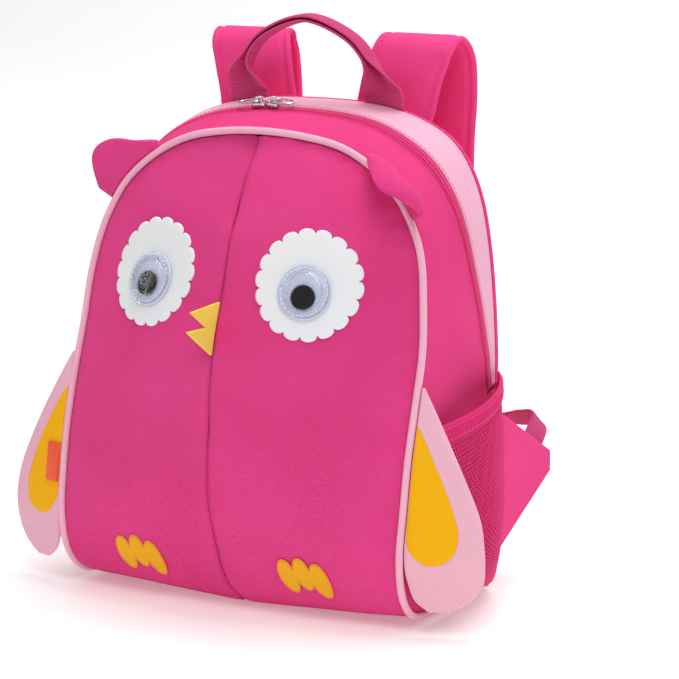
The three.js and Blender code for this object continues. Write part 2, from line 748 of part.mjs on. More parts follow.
// The lowest and highest point of the joined toes above one place across the foot.
function toeSpan(x) {
  const spans = toes.map((toe) => {
    const a = toe.halfWidth * footWidth;
    const b = toe.halfHeight * footRise;
    const dx = x - toe.across * footWidth;
    const k = toeLean;
    const square = (k * k) / (a * a) + 1 / (b * b);
    const linear = (dx * k) / (a * a);
    const rest = (dx * dx) / (a * a) - 1;
    const root = linear * linear - square * rest;
    if (root < 0) return null;
    const middle = toe.up * footRise;
    return [middle + (linear - Math.sqrt(root)) / square, middle + (linear + Math.sqrt(root)) / square];
  }).filter(Boolean);
  return [Math.min(...spans.map((span) => span[0])), Math.max(...spans.map((span) => span[1]))];
}

function footPatch(side) {
  const reach = (toe) => Math.hypot(toe.halfWidth * footWidth, toeLean * toe.halfHeight * footRise) - 1e-3;
  const low = toes[0].across * footWidth - reach(toes[0]);
  const high = toes[2].across * footWidth + reach(toes[2]);
  const point = (across, share) => {
    const x = lerp(low, high, across);
    const [bottom, top] = toeSpan(x);
    return onFace(side * footSpacing / 2 + x, footHeight + lerp(bottom, top, share), patchLift);
  };
  const ease = (t) => (1 - Math.cos(Math.PI * t)) / 2;
  return shell({
    rows: range(26).map((t) => lerp(t, ease(t), 0.5)),
    columns: range(3),
    point,
    above: wall(footWall),
    below: wall(0),
    normal: (across, share) => {
      const place = point(across, share);
      return faceFrame(place.x, place.z).normal;
    },
  });
}
addPiece('foot_left', footPatch(-1), amber, 0.75);
addPiece('foot_right', footPatch(1), amber, 0.75);

// Ears: two layers of cloth sewn into the piping seam. along runs down the seam, out and fore are shares
// of earReach for the free edge, and arch lifts the middle of the flap off a straight line.
const earSeam = { top: 2.75, bottom: 4.75 };
const earEdges = {
  left: [
    { out: 0.12, fore: 0.02, arch: 0.02 },
    { out: 0.55, fore: 0.02, arch: 0.1 },
    { out: 0.98, fore: -0.1, arch: 0.02 },
    { out: 0.98, fore: -0.12, arch: 0.02 },
    { out: 0.3, fore: 0, arch: 0.05 },
  ],
  right: [
    { out: 0.12, fore: 0.16, arch: 0.05 },
    { out: 0.14, fore: 0.74, arch: 0.26 },
    { out: 0.16, fore: 1.0, arch: 0.34 },
    { out: 0.34, fore: 0.84, arch: 0.36 },
    { out: 0.42, fore: 0.42, arch: 0.16 },
  ],
};

function rowValue(table, share, column) {
  const curve = new THREE.CatmullRomCurve3(
    table.map((row, i) => V(i, row[column], 0)), false, 'catmullrom', 0.5);
  return curve.getPoint(clamp(share, 0, 1)).y;
}

function ear(edge, side) {
  const seam = (along) => lerp(earSeam.top, earSeam.bottom, along);
  const outwardAt = (along) => {
    const tangent = loopTangent(pipingSeam, side * seam(along));
    return V(-tangent.z, 0, tangent.x).normalize();
  };
  const point = (along, b) => {
    const outward = outwardAt(along);
    const root = onLoop(pipingSeam, side * seam(along)).addScaledVector(outward, pipingRadius + seamGap);
    const tip = root.clone()
      .addScaledVector(outward, rowValue(edge, along, 'out') * earReach)
      .addScaledVector(V(0, -1, 0), rowValue(edge, along, 'fore') * earReach);
    const arch = rowValue(edge, along, 'arch') * earReach * 4 * b * (1 - b);
    return root.lerp(tip, b).addScaledVector(outward, arch);
  };
  const thickness = (along, b) => earWall / 2 * lerp(0.5, 1, Math.sin(Math.PI * along) * Math.sin(Math.PI * b));
  return shell({ rows: range(12), columns: range(6), point, above: thickness, below: thickness });
}
addPiece('ear_left', ear(earEdges.left, -1), hotPink);
addPiece('ear_right', ear(earEdges.right, 1), hotPink);

// Wings: flat stuffed drops sewn into the piping seam. down is a share of wingDrop, and inner and outer
// are the two edges as shares of wingReach, measured out from the seam.
const wingRows = [
  { down: 0.0, inner: 0.0, outer: 0.03 },
  { down: 0.14, inner: 0.0, outer: 0.27 },
  { down: 0.34, inner: 0.0, outer: 0.59 },
  { down: 0.56, inner: 0.0, outer: 0.89 },
  { down: 0.7, inner: 0.0, outer: 0.985 },
  { down: 0.8, inner: 0.01, outer: 1.0 },
  { down: 0.88, inner: 0.05, outer: 0.96 },
  { down: 0.95, inner: 0.13, outer: 0.8 },
  { down: 1.0, inner: 0.3, outer: 0.55 },
];

function pipingAtHeight(z) {
  const lowest = 12.6;
  const s = solveFalling((t) => onLoop(pipingSeam, t).z, z, 6, lowest);
  return onLoop(pipingSeam, s);
}

const wingOut = V(Math.cos(degToRad(wingSweepDegrees)), Math.sin(degToRad(wingSweepDegrees)), 0);
const wingFront = V(Math.sin(degToRad(wingSweepDegrees)), -Math.cos(degToRad(wingSweepDegrees)), 0);

function wingPoint(row, across) {
  const z = wingTop - rowValue(wingRows, row, 'down') * wingDrop;
  const inner = rowValue(wingRows, row, 'inner') * wingReach + pipingRadius + seamGap;
  const outer = rowValue(wingRows, row, 'outer') * wingReach + pipingRadius + seamGap;
  const root = pipingAtHeight(z);
  root.z = z;
  return root.addScaledVector(wingOut, lerp(inner, outer, across));
}

function wingHalfWall(row, across) {
  const puff = Math.sin(Math.PI * clamp(row, 0, 1)) ** 0.6 * (4 * across * (1 - across)) ** 0.7;
  return wingEdgeWall / 2 + wingPuff / 2 * puff;
}

function wing() {
  return shell({
    rows: range(18),
    columns: [0, 0.12, 0.35, 0.65, 0.88, 1],
    point: wingPoint,
    above: wingHalfWall,
    below: wingHalfWall,
    normal: () => wingFront.clone(),
  });
}
addPair('wing', wing(), palePink);

// Side tab in the left seam, lying on the wing's front
function sideTag() {
  const rowAt = (z) => solveFalling((t) => wingPoint(t, 0).z, z, 0, 1);
  const point = (down, out) => {
    const row = rowAt(tagTop - down * tagHeight);
    const width = wingPoint(row, 1).distanceTo(wingPoint(row, 0));
    const across = out * tagReach / width;
    return wingPoint(row, across).addScaledVector(wingFront, wingHalfWall(row, across) + seamGap);
  };
  return shell({
    rows: range(4),
    columns: range(3),
    point,
    above: wall(tagWall),
    below: wall(0),
    normal: () => wingFront.clone(),
  });
}
addPiece('side_tag', mirrored(sideTag()), '#ff5a2a', 0.6);

// Side pockets: a net that stands off the band below its hem, with its edges in the seams.
function pocketOffset(s, v) {
  const fall = clamp((s - hemStation) / (bandEnd - hemStation), 0, 1);
  const down = lerp(hemStandOff, pocketBulge, Math.sin(Math.PI * clamp(fall * 1.1, 0, 1)) ** 0.8);
  const toSeam = Math.sqrt(Math.max(1 - Math.max(fall - 0.55, 0) ** 2 / 0.45 ** 2, 0));
  return down * toSeam * Math.sin(Math.PI * clamp(v, 0, 1) ** 1.15) ** 0.75;
}

function pocketPoint(s, v) {
  const place = bandPoint(s, v);
  return place.addScaledVector(V(1, 0, 0), pocketOffset(s, v) + seamGap);
}

const pocketStart = (s) => bandStart(s) + pocketInset / bandLength(s);
const pocketEnd = (s) => 1 - 1.5 / bandLength(s);
const netTop = hemStation + 0.42;

function pocketNet() {
  const end = bandEnd - 0.15;
  return shell({
    rows: range(15).map((t) => lerp(netTop, end, t)),
    columns: range(17),
    point: (s, c) => pocketPoint(s, lerp(pocketStart(s), pocketEnd(s), c)),
    above: wall(pocketWall),
    below: wall(0),
    hole: (i, j) => i % 2 === 1 && j % 2 === 1 && i < 14,
  });
}
addPair('mesh_pocket', pocketNet(), deepPink);

// Hem: a folded elastic binding along the pocket's mouth.
function pocketHem() {
  const point = (v, down) => {
    const place = pocketPoint(hemStation + 0.4, v);
    const top = pocketPoint(hemStation, v);
    return top.lerp(place, down).addScaledVector(V(0, 0, 1), hemHeight * 0.1 * (1 - down));
  };
  return shell({
    rows: range(14).map((t) => lerp(pocketStart(hemStation), pocketEnd(hemStation), t)),
    columns: range(2),
    point,
    above: wall(hemWall),
    below: wall(0),
  });
}
addPair('pocket_binding', pocketHem(), '#f0357f');

// Carry handle: flat webbing at each end, folded in half lengthwise over the arch. The fold opens
// forwards. fold(t) is how far each half is turned from flat, in radians.
function handleStrap() {
  const base = onLoop(rearSeam, solveFalling((t) => -onLoop(rearSeam, t).x, -handleSpacing / 2, 0, 4));
  const half = handleSpacing / 2;
  const side = base.y + handleWebWall / 2 + seamGap / 2;
  const rise = base.z + seamGap;
  const path = new THREE.CatmullRomCurve3([
    V(-half, side, rise),
    V(-half, side - 0.3 * handleLean, rise + 0.2 * handleRise),
    V(-half * 0.93, side - 0.6 * handleLean, rise + 0.47 * handleRise),
    V(-half * 0.62, side - 0.9 * handleLean, rise + 0.8 * handleRise),
    V(0, side - handleLean, rise + handleRise),
    V(half * 0.62, side - 0.9 * handleLean, rise + 0.8 * handleRise),
    V(half * 0.93, side - 0.6 * handleLean, rise + 0.47 * handleRise),
    V(half, side - 0.3 * handleLean, rise + 0.2 * handleRise),
    V(half, side, rise),
  ], false, 'catmullrom', 0.5);
  const bend = 2.6;
  const halfWidth = handleWebWidth / 2;
  const fold = (t) => {
    const fromEnd = Math.min(t, 1 - t);
    return lerp(0.02, degToRad(handleFoldDegrees), THREE.MathUtils.smoothstep(fromEnd, 0.05, 0.3));
  };
  const section = (angle, reach) => {
    const radius = bend / angle;
    const arc = Math.min(Math.abs(reach), bend) / radius;
    const rest = Math.max(Math.abs(reach) - bend, 0);
    const across = radius * Math.sin(arc) + rest * Math.cos(angle);
    const forward = radius * (1 - Math.cos(arc)) + rest * Math.sin(angle);
    return [Math.sign(reach) * across, forward];
  };
  const point = (t, reach) => {
    const tangent = path.getTangent(t);
    const radial = V(tangent.z, 0, -tangent.x).normalize();
    const [across, forward] = section(fold(t), reach * halfWidth);
    const place = path.getPoint(t).addScaledVector(radial, across).addScaledVector(V(0, -1, 0), forward);
    const nearEnd = 1 - clamp(Math.min(t, 1 - t) / 0.08, 0, 1);
    const seamRise = onLoop(rearSeam, solveFalling((q) => -onLoop(rearSeam, q).x, -Math.abs(place.x), 0, 4)).z - base.z;
    place.z += seamRise * nearEnd;
    return place;
  };
  const thick = wall(handleWebWall / 2);
  return shell({
    rows: range(44),
    columns: [-1, -0.6, -0.22, -0.1, 0, 0.1, 0.22, 0.6, 1],
    point,
    above: thick,
    below: thick,
  });
}
addPiece('carry_handle', handleStrap(), deepPink);

// Shoulder straps. The route starts flat on the back panel, stands up behind the top edge, folds over
// and hangs down. across, behind and up are shares of the half width, the depth and the height.
const strapRoute = [
  { across: 0.415, behind: 0.016, up: 0.995 },
  { across: 0.45, behind: 0.03, up: 1.058 },
  { across: 0.492, behind: 0.072, up: 1.109 },
  { across: 0.514, behind: 0.14, up: 1.12 },
  { across: 0.524, behind: 0.204, up: 1.084 },
  { across: 0.522, behind: 0.226, up: 1.01 },
  { across: 0.512, behind: 0.218, up: 0.9 },
  { across: 0.514, behind: 0.22, up: 0.77 },
  { across: 0.54, behind: 0.238, up: 0.64 },
  { across: 0.59, behind: 0.256, up: 0.53 },
  { across: 0.65, behind: 0.27, up: 0.452 },
];
const strapRootAcross = 0.39;
const strapRootUp = [0.885, 0.94];

const onBack = (x, z, lift) => V(x, backFace(x, z) + lift, z);
const strapRoot = strapRootUp.map((up) => onBack(
  strapRootAcross * bodyHalfWidth, up * bodyHeight, seamGap + strapWall / 2));
const strapCurve = new THREE.CatmullRomCurve3([
  ...strapRoot,
  ...strapRoute.map(({ across, behind, up }) => V(across * bodyHalfWidth, behind * bodyDepth, up * bodyHeight)),
], false, 'catmullrom', 0.5);

function strapSide(t) {
  const tangent = strapCurve.getTangent(t);
  const side = V(1, 0, 0);
  return side.addScaledVector(tangent, -side.dot(tangent)).normalize();
}

function shoulderStrap() {
  const taper = (t) => THREE.MathUtils.smoothstep(t, 0.86, 1);
  return ribbon({
    path: (t) => strapCurve.getPoint(t),
    side: strapSide,
    half: (t) => lerp(strapWidth, strapEndWidth, taper(t)) / 2,
    thickness: (t, v) => lerp(strapWall, strapEndWall, taper(t)) * (1 - 0.45 * v ** 4),
    steps: 42,
    across: [-1, -0.85, -0.4, 0.4, 0.85, 1],
  });
}
addPair('shoulder_strap', shoulderStrap(), deepPink);

// Buckle frame: right is across the strap, up points back along it, and normal looks away from the bag.
function buckleFrame() {
  const end = strapCurve.getPoint(1);
  const up = strapCurve.getTangent(1).negate();
  const right = strapSide(1).negate();
  const normal = V(0, 0, 0).crossVectors(right, up).normalize();
  const reach = seamGap + webWidth * 0.35 + buckleHeight / 2;
  return { point: end.addScaledVector(up, -reach), right, up, normal };
}

function buckleSolid() {
  const [w, h] = [buckleWidth / 2, buckleHeight / 2];
  const corner = 2.5;
  const outline = new THREE.Shape();
  outline.moveTo(-w + corner, -h);
  outline.lineTo(w - corner, -h);
  outline.quadraticCurveTo(w, -h, w, -h + corner);
  outline.lineTo(w, h - corner);
  outline.quadraticCurveTo(w, h, w - corner, h);
  outline.lineTo(-w + corner, h);
  outline.quadraticCurveTo(-w, h, -w, h - corner);
  outline.lineTo(-w, -h + corner);
  outline.quadraticCurveTo(-w, -h, -w + corner, -h);
  const slotHalf = webWidth / 2 + seamGap;
  const slot = (low, high) => {
    const hole = new THREE.Path();
    hole.moveTo(-slotHalf, low);
    hole.lineTo(slotHalf, low);
    hole.lineTo(slotHalf, high);
    hole.lineTo(-slotHalf, high);
    hole.lineTo(-slotHalf, low);
    return hole;
  };
  outline.holes.push(slot(buckleBar / 2, h - buckleBar), slot(-h + buckleBar, -buckleBar / 2));
  const plate = new THREE.ExtrudeGeometry(outline, { depth: buckleWall, bevelEnabled: false, curveSegments: 3 });
  plate.translate(0, 0, -buckleWall / 2);
  return inFrame(plate, buckleFrame());
}
addPair('strap_buckle', buckleSolid(), '#c42a6c', 0.4);

// Points in the buckle's own axes, made places in the model.
function fromBuckle(frame, along, off) {
  return frame.point.clone().addScaledVector(frame.up, along).addScaledVector(frame.normal, off);
}

const webOff = buckleWall / 2 + webWall / 2 + seamGap;

// Keeper loop: webbing from the strap's end round the buckle's top bar and back.
function strapLoop() {
  const frame = buckleFrame();
  const bar = buckleHeight / 2 - buckleBar / 2;
  const far = buckleHeight / 2 + webWidth * 0.35;
  const turn = range(6).map((t) => {
    const angle = Math.PI * t;
    return fromBuckle(frame, bar - webOff * Math.sin(angle) - 0.4, -webOff * Math.cos(angle));
  });
  const route = [fromBuckle(frame, far, -webOff), ...turn, fromBuckle(frame, far, webOff)];
  const curve = new THREE.CatmullRomCurve3(route, false, 'catmullrom', 0.5);
  return ribbon({
    path: (t) => curve.getPoint(t),
    side: () => frame.right.clone(),
    half: wall(webWidth / 2),
    thickness: wall(webWall),
    steps: 16,
    across: [-1, 1],
  });
}
addPair('strap_loop', strapLoop(), deepPink);

// Side tab: a cloth triangle in the rear seam that carries the webbing.
const seamAtHeight = (z) => onLoop(rearSeam, solveFalling((t) => onLoop(rearSeam, t).z, z, 6, lastStation - 0.1));
const tabInset = 1;

function tabPoint(down, out) {
  const root = seamAtHeight(lerp(tabTop, tabBottom, down));
  root.x += tabInset + tabWall;
  root.y += seamGap;
  const middle = (tabTop + tabBottom) / 2;
  const tip = V(bodyHalfWidth + tabInset + tabWall + tabSplay, tabReach, middle + lerp(tabTipRise, -2, down) * 0.5);
  return root.lerp(tip, out);
}

// The tab's middle surface at a place behind the seam and up.
function onTab(y, z) {
  const out = (y - seamGap) / (tabReach - seamGap);
  const [top, bottom] = [tabPoint(0, out).z, tabPoint(1, out).z];
  return tabPoint(clamp((top - z) / (top - bottom), -0.5, 1), out);
}

function strapTab() {
  return shell({
    rows: range(6),
    columns: range(4),
    point: tabPoint,
    above: wall(tabWall / 2),
    below: wall(tabWall / 2),
    normal: () => V(1, 0, 0),
  });
}
addPair('strap_tab', strapTab(), deepPink);

// Webbing: sewn on the inside of the tab, up to the buckle, round its middle bar and down as a tail.
function strapWebbing() {
  const frame = buckleFrame();
  const inside = tabWall / 2 + seamGap + webWall / 2;
  const edgeTop = tabPoint(0, 0.52).lerp(tabPoint(0, 0.94), 0.5);
  const upperEdge = tabPoint(0, 0.94).sub(tabPoint(0, 0.5)).normalize();
  const offEdge = V(0, -upperEdge.z, upperEdge.y).normalize();
  const anchor = (distance) => {
    const place = edgeTop.clone().addScaledVector(offEdge, distance);
    return V(onTab(place.y, place.z).x - inside, place.y, place.z);
  };
  const bar = 0;
  const turn = range(6).map((t) => {
    const angle = Math.PI * t;
    return fromBuckle(frame, bar + webOff * Math.sin(angle) + 0.4, -webOff * Math.cos(angle));
  });
  const lower = -buckleHeight / 2;
  const tailTop = fromBuckle(frame, lower - 2, webOff);
  const tail = [0.3, 0.65, 1].map((t) => tailTop.clone().add(
    V(webTail * 0.12 * t, webTail * 0.1 * t, -webTail * t)));
  const start = anchor(12);
  const meet = fromBuckle(frame, lower - 3, -webOff);
  const middle = start.clone().lerp(meet, 0.5).add(V(5, 4, 1));
  const route = [anchor(-12), anchor(0), start, middle, meet, fromBuckle(frame, lower * 0.4, -webOff),
    ...turn, fromBuckle(frame, lower * 0.4, webOff), tailTop, ...tail];
  const curve = new THREE.CatmullRomCurve3(route, false, 'catmullrom', 0.5);
  const blendStart = 1.3 / (route.length - 1);
  const blendEnd = 4.4 / (route.length - 1);
  const side = (t) => {
    const tangent = curve.getTangent(t);
    const twist = THREE.MathUtils.smoothstep(t, blendStart, blendEnd);
    const wide = upperEdge.clone().lerp(frame.right, twist);
    return wide.addScaledVector(tangent, -wide.dot(tangent)).normalize();
  };
  return ribbon({
    path: (t) => curve.getPoint(t),
    side,
    half: wall(webWidth / 2),
    thickness: wall(webWall),
    steps: 54,
    across: [-1, 0, 1],
  });
}
addPair('strap_webbing', strapWebbing(), deepPink);

// Stand the model on its base with its box centred on the origin.
model.updateMatrixWorld(true);
const box = new THREE.Box3().setFromObject(model, true);
model.position.set(-(box.min.x + box.max.x) / 2, -(box.min.y + box.max.y) / 2, -box.min.z);
model.updateMatrixWorld(true);

export default model;
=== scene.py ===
# %% [markdown]
# # A toddler's backpack with an owl face
# The bag is sewn from a few cloth panels that hang on four seams: the keel down the middle of the face, the
# corded seam round the face, the zip and the seam round the back. The CAD part already has these panels as
# plain shells. Here each one is drawn again from the same seams on a finer grid, and gets its own finish.

# %% Load the part
import json
import math

import bmesh
import bpy
import numpy as np
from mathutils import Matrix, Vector


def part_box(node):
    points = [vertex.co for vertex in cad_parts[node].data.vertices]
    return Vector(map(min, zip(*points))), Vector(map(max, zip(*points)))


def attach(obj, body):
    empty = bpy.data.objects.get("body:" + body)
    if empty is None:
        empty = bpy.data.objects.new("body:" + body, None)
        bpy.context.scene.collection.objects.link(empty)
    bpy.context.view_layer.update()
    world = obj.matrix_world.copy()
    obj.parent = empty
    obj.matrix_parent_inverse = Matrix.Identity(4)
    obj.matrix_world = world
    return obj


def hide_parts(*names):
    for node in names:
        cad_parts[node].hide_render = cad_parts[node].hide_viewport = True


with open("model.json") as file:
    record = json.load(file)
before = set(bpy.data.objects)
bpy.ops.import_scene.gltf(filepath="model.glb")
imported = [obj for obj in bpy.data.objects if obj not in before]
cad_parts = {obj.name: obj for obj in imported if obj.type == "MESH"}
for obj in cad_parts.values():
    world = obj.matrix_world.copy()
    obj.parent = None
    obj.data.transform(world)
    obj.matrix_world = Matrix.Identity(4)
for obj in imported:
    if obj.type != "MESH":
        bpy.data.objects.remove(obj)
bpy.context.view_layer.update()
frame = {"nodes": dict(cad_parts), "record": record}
MM = 0.001
BAG = "bag"
SIDES = (("right", 1), ("left", -1))

# %% [markdown]
# ## Camera and light
# A product picture like this one is taken from a little above the table with a long lens, which keeps
# upright seams nearly parallel. The bag stands turned by about thirty degrees, so that its side shows. A
# broad soft light high on the right shapes the face, a weak one on the left opens its shadows, one from
# above lights the top of the bag, and the fourth whitens the paper behind it. A pale room fills the rest.

# %% Camera
REAR_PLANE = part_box("front_panel_right")[1].y / MM + 1.0
CAMERA_TURN, CAMERA_RISE = math.radians(29.82), math.radians(10.12)
CAMERA_DISTANCE = 1586 * MM
LOOK_AT = Vector((43.6, REAR_PLANE - 59.8, 143.6)) * MM

camera_data = bpy.data.cameras.new("camera")
camera = bpy.data.objects.new("camera", camera_data)
bpy.context.scene.collection.objects.link(camera)
bpy.context.scene.camera = camera
camera_data.lens = 158.1
camera_data.sensor_width = 36
towards_camera = Vector((math.sin(CAMERA_TURN) * math.cos(CAMERA_RISE),
                         -math.cos(CAMERA_TURN) * math.cos(CAMERA_RISE), math.sin(CAMERA_RISE)))
camera.location = LOOK_AT + towards_camera * CAMERA_DISTANCE
camera.rotation_mode = "QUATERNION"
camera.rotation_quaternion = (-towards_camera).to_track_quat("-Z", "Y")


# %% Colour and node helpers
def linear(text, alpha=1.0):
    """An sRGB hex colour as linear RGBA."""
    values = [int(text[i:i + 2], 16) / 255 for i in (1, 3, 5)]
    return tuple(v / 12.92 if v <= 0.04045 else ((v + 0.055) / 1.055) ** 2.4 for v in values) + (alpha,)


def add(tree, kind, links=(), **settings):
    """Adds one node: settings are its properties, and links gives its inputs a value or a socket to read."""
    node = tree.nodes.new("ShaderNode" + kind)
    for name, value in settings.items():
        setattr(node, name, value)
    for key, value in dict(links).items():
        if isinstance(value, bpy.types.NodeSocket):
            tree.links.new(value, node.inputs[key])
        else:
            node.inputs[key].default_value = value
    return node


def new_material(name):
    """An empty node material and its tree."""
    material = bpy.data.materials.new(name)
    material.use_nodes = True
    material.node_tree.nodes.clear()
    return material, material.node_tree


def surface(tree, links):
    """The principled shader with these inputs, joined to the material's output."""
    shader = add(tree, "BsdfPrincipled", links)
    add(tree, "OutputMaterial", {"Surface": shader.outputs["BSDF"]})
    return shader


# %% Studio
def soft_box(name, place, size, power, tint, aim=(0, 0, 0.13)):
    """A square area light at place that faces its aim, or else the middle of the bag."""
    light = bpy.data.lights.new(name, "AREA")
    light.shape = "SQUARE"
    light.size = size
    light.energy = power
    light.color = linear(tint)[:3]
    holder = bpy.data.objects.new(name, light)
    bpy.context.scene.collection.objects.link(holder)
    holder.location = place
    holder.rotation_mode = "QUATERNION"
    holder.rotation_quaternion = (Vector(aim) - Vector(place)).to_track_quat("-Z", "Y")


soft_box("key_light", (0.95, -1.25, 2.0), 1.3, 20, "#ffffff")
soft_box("fill_light", (-1.5, -1.1, 1.0), 0.9, 1.0, "#ffffff")
soft_box("top_light", (0.1, 0.2, 1.6), 0.8, 8.5, "#ffffff")
soft_box("backdrop_light", (0, 1.0, 2.6), 2.4, 56, "#ffffff", aim=(0, 3.6, 0.7))

world = bpy.data.worlds.new("white_room")
world.use_nodes = True
world.node_tree.nodes["Background"].inputs["Color"].default_value = linear("#ffffff")
world.node_tree.nodes["Background"].inputs["Strength"].default_value = 0.35
bpy.context.scene.world = world
bpy.context.scene.view_settings.view_transform = "Standard"

paper, paper_tree = new_material("matt_studio_paper")
surface(paper_tree, {"Base Color": linear("#f4f3f3"), "Roughness": 0.6, "Emission Color": linear("#ffffff"),
                     "Emission Strength": 0.24})
# The paper lies flat for half its length, bends up a quarter circle of this radius in metres, then stands.
PAPER_ROWS, PAPER_BEND = 40, 1.2
sweep_x = np.linspace(-4, 4, 2)
sweep_t = np.linspace(0, 1, PAPER_ROWS)
bend_turn = (sweep_t - 0.5) * 2 * np.pi
sweep_y = np.where(sweep_t < 0.5, -3 + 11 * sweep_t,
                   2.5 + PAPER_BEND * np.sin(np.clip(bend_turn, 0, np.pi / 2)))
upright = np.where(sweep_t < 0.75, PAPER_BEND * (1 - np.cos(bend_turn)), PAPER_BEND + (sweep_t - 0.75) * 12)
sweep_z = np.where(sweep_t < 0.5, 0, upright)
floor_mesh = bpy.data.meshes.new("paper_sweep")
floor_points = np.stack([np.repeat(sweep_x[None], PAPER_ROWS, 0), np.repeat(sweep_y[:, None], 2, 1),
                         np.repeat(sweep_z[:, None], 2, 1)], -1).reshape(-1, 3)
floor_faces = [(2 * i, 2 * i + 1, 2 * i + 3, 2 * i + 2) for i in range(PAPER_ROWS - 1)]
floor_mesh.from_pydata(floor_points.tolist(), [], floor_faces)
floor_mesh.materials.append(paper)
floor_mesh.shade_smooth()
floor = bpy.data.objects.new("paper_sweep", floor_mesh)
bpy.context.scene.collection.objects.link(floor)

# %% [markdown]
# ## The four seams
# A bag's cutting pattern is easiest to describe by where its seams run. Each row below is one station on
# the way from the top of the bag down its side and under it. The seam through the stations is a Catmull-Rom
# curve, which passes through every point, so a row can be moved on its own.

# %% Stations
BODY_HALF_WIDTH, BODY_HEIGHT, BODY_DEPTH = 106, 266, 125
# piping across, fore, up | keel fore, up | rear across, fore, up | turn | zip
STATIONS = np.array([
    (0.000, 0.552, 0.953, 0.564, 0.945, 0.000, 0.080, 1.000, 0, 0.50),
    (0.236, 0.544, 0.947, 0.600, 0.915, 0.245, 0.080, 0.998, 0, 0.50),
    (0.453, 0.528, 0.929, 0.672, 0.868, 0.462, 0.076, 0.987, 0, 0.50),
    (0.642, 0.536, 0.891, 0.744, 0.808, 0.651, 0.080, 0.964, 0, 0.50),
    (0.792, 0.552, 0.838, 0.808, 0.748, 0.792, 0.072, 0.929, 0, 0.52),
    (0.887, 0.564, 0.778, 0.848, 0.692, 0.882, 0.056, 0.876, 0, 0.55),
    (0.943, 0.584, 0.718, 0.888, 0.632, 0.939, 0.036, 0.805, 0, 0.59),
    (0.976, 0.620, 0.639, 0.944, 0.558, 0.972, 0.020, 0.714, 0, 0.66),
    (0.995, 0.656, 0.545, 0.976, 0.481, 0.991, 0.008, 0.609, 0, 0.76),
    (1.000, 0.720, 0.451, 0.988, 0.402, 1.000, 0.000, 0.504, 0, 0.865),
    (1.000, 0.784, 0.346, 1.000, 0.323, 1.000, 0.000, 0.436, 0, 0.92),
    (1.000, 0.824, 0.248, 0.996, 0.237, 1.000, 0.000, 0.383, 0, 0.92),
    (0.995, 0.848, 0.158, 0.952, 0.165, 1.000, 0.000, 0.338, 6, 0.92),
    (0.990, 0.816, 0.079, 0.884, 0.086, 0.998, 0.000, 0.293, 28, 0.92),
    (0.981, 0.712, 0.028, 0.784, 0.030, 0.995, 0.000, 0.241, 60, 0.92),
    (0.972, 0.544, 0.015, 0.624, -0.008, 0.990, 0.000, 0.180, 85, 0.92),
    (0.962, 0.288, 0.015, 0.360, -0.011, 0.980, 0.000, 0.105, 90, 0.92),
    (0.953, 0.008, 0.015, 0.008, -0.011, 0.957, 0.000, 0.008, 90, 0.92),
])
LAST = len(STATIONS) - 1
TURN, ZIP_SHARE = STATIONS[:, 8], STATIONS[:, 9]
ZIP_END = 10
CORD_RADIUS = 2.0
SEAM_GAP = 0.4


def spline(points, share):
    """The Catmull-Rom curve through points at a share from 0 to 1 of its length in points."""
    points = np.asarray(points, float)
    ends = np.vstack([2 * points[:1] - points[1:2], points, 2 * points[-1:] - points[-2:-1]])
    place = np.clip(share, 0, 1) * (len(points) - 1)
    i = np.minimum(place.astype(int), len(points) - 2)
    w = (place - i)[..., None]
    a, b, c, d = (ends[i + k] for k in range(4))
    leave, arrive = (c - a) / 2, (d - b) / 2
    cubic, square = 2 * b - 2 * c + leave + arrive, 3 * c - 3 * b - 2 * leave - arrive
    return cubic * w ** 3 + square * w ** 2 + leave * w + b


def loop_points(columns):
    """A seam's points in mm from the left foot over the crown to the right foot."""
    right = STATIONS[:, columns] * [BODY_HALF_WIDTH, -BODY_DEPTH, BODY_HEIGHT]
    return np.vstack([right[:0:-1] * [-1, 1, 1], right])


PIPING_POINTS = loop_points([0, 1, 2])
REAR_POINTS = loop_points([5, 6, 7])
KEEL_POINTS = np.column_stack([0 * TURN, -STATIONS[:, 3] * BODY_DEPTH, STATIONS[:, 4] * BODY_HEIGHT])


def piping_seam(s):
    """The corded seam at station s, which is 0 at the crown and counts down the right side."""
    return spline(PIPING_POINTS, (np.asarray(s, float) + LAST) / (2 * LAST))


def rear_seam(s):
    """The seam round the back at station s."""
    return spline(REAR_POINTS, (np.asarray(s, float) + LAST) / (2 * LAST))


def keel_seam(s):
    """The seam down the middle of the face at station s, the same on both sides."""
    return spline(KEEL_POINTS, np.abs(np.asarray(s, float)) / LAST)


def run_lengths(path):
    """The length along a path from its first point to each point."""
    return np.concatenate([[0], np.cumsum(np.linalg.norm(np.diff(path, axis=0), axis=1))])


def unit(vectors):
    """Each vector over its own length."""
    return vectors / np.maximum(np.linalg.norm(vectors, axis=-1, keepdims=True), 1e-12)


def dot(a, b):
    """The sum of the products of two vectors' parts, kept as a column."""
    return (a * b).sum(-1, keepdims=True)


def seam_direction(seam, s):
    """The seam's direction, from the points a little before and after s."""
    return unit(seam(np.asarray(s, float) + 0.03) - seam(np.asarray(s, float) - 0.03))


def at_station(s, column):
    """A column of the table, read between its rows at station s."""
    return np.interp(np.abs(s), np.arange(LAST + 1), column)[..., None]


def cord_clearance(direction, along):
    """How far a cloth's edge stands off the cord's middle, measured along the cloth."""
    return (CORD_RADIUS + SEAM_GAP) / np.sqrt(np.maximum(1 - dot(direction, along) ** 2, 0.12))


print("seam round the face:", round(run_lengths(piping_seam(np.linspace(-LAST, LAST, 400)))[-1]), "mm")

# %% [markdown]
# ## The two body surfaces
# The face puffs out because it is longer from side to side than the space between its seams. Its surface
# runs from the keel (u = 0) to the cord (u = 1) with a profile that slopes from the keel like a roof and
# rounds down to the cord, with a tighter edge lower down. The band joins the cord (v = 0) to the seam at
# the back (v = 1) with a slight bulge.


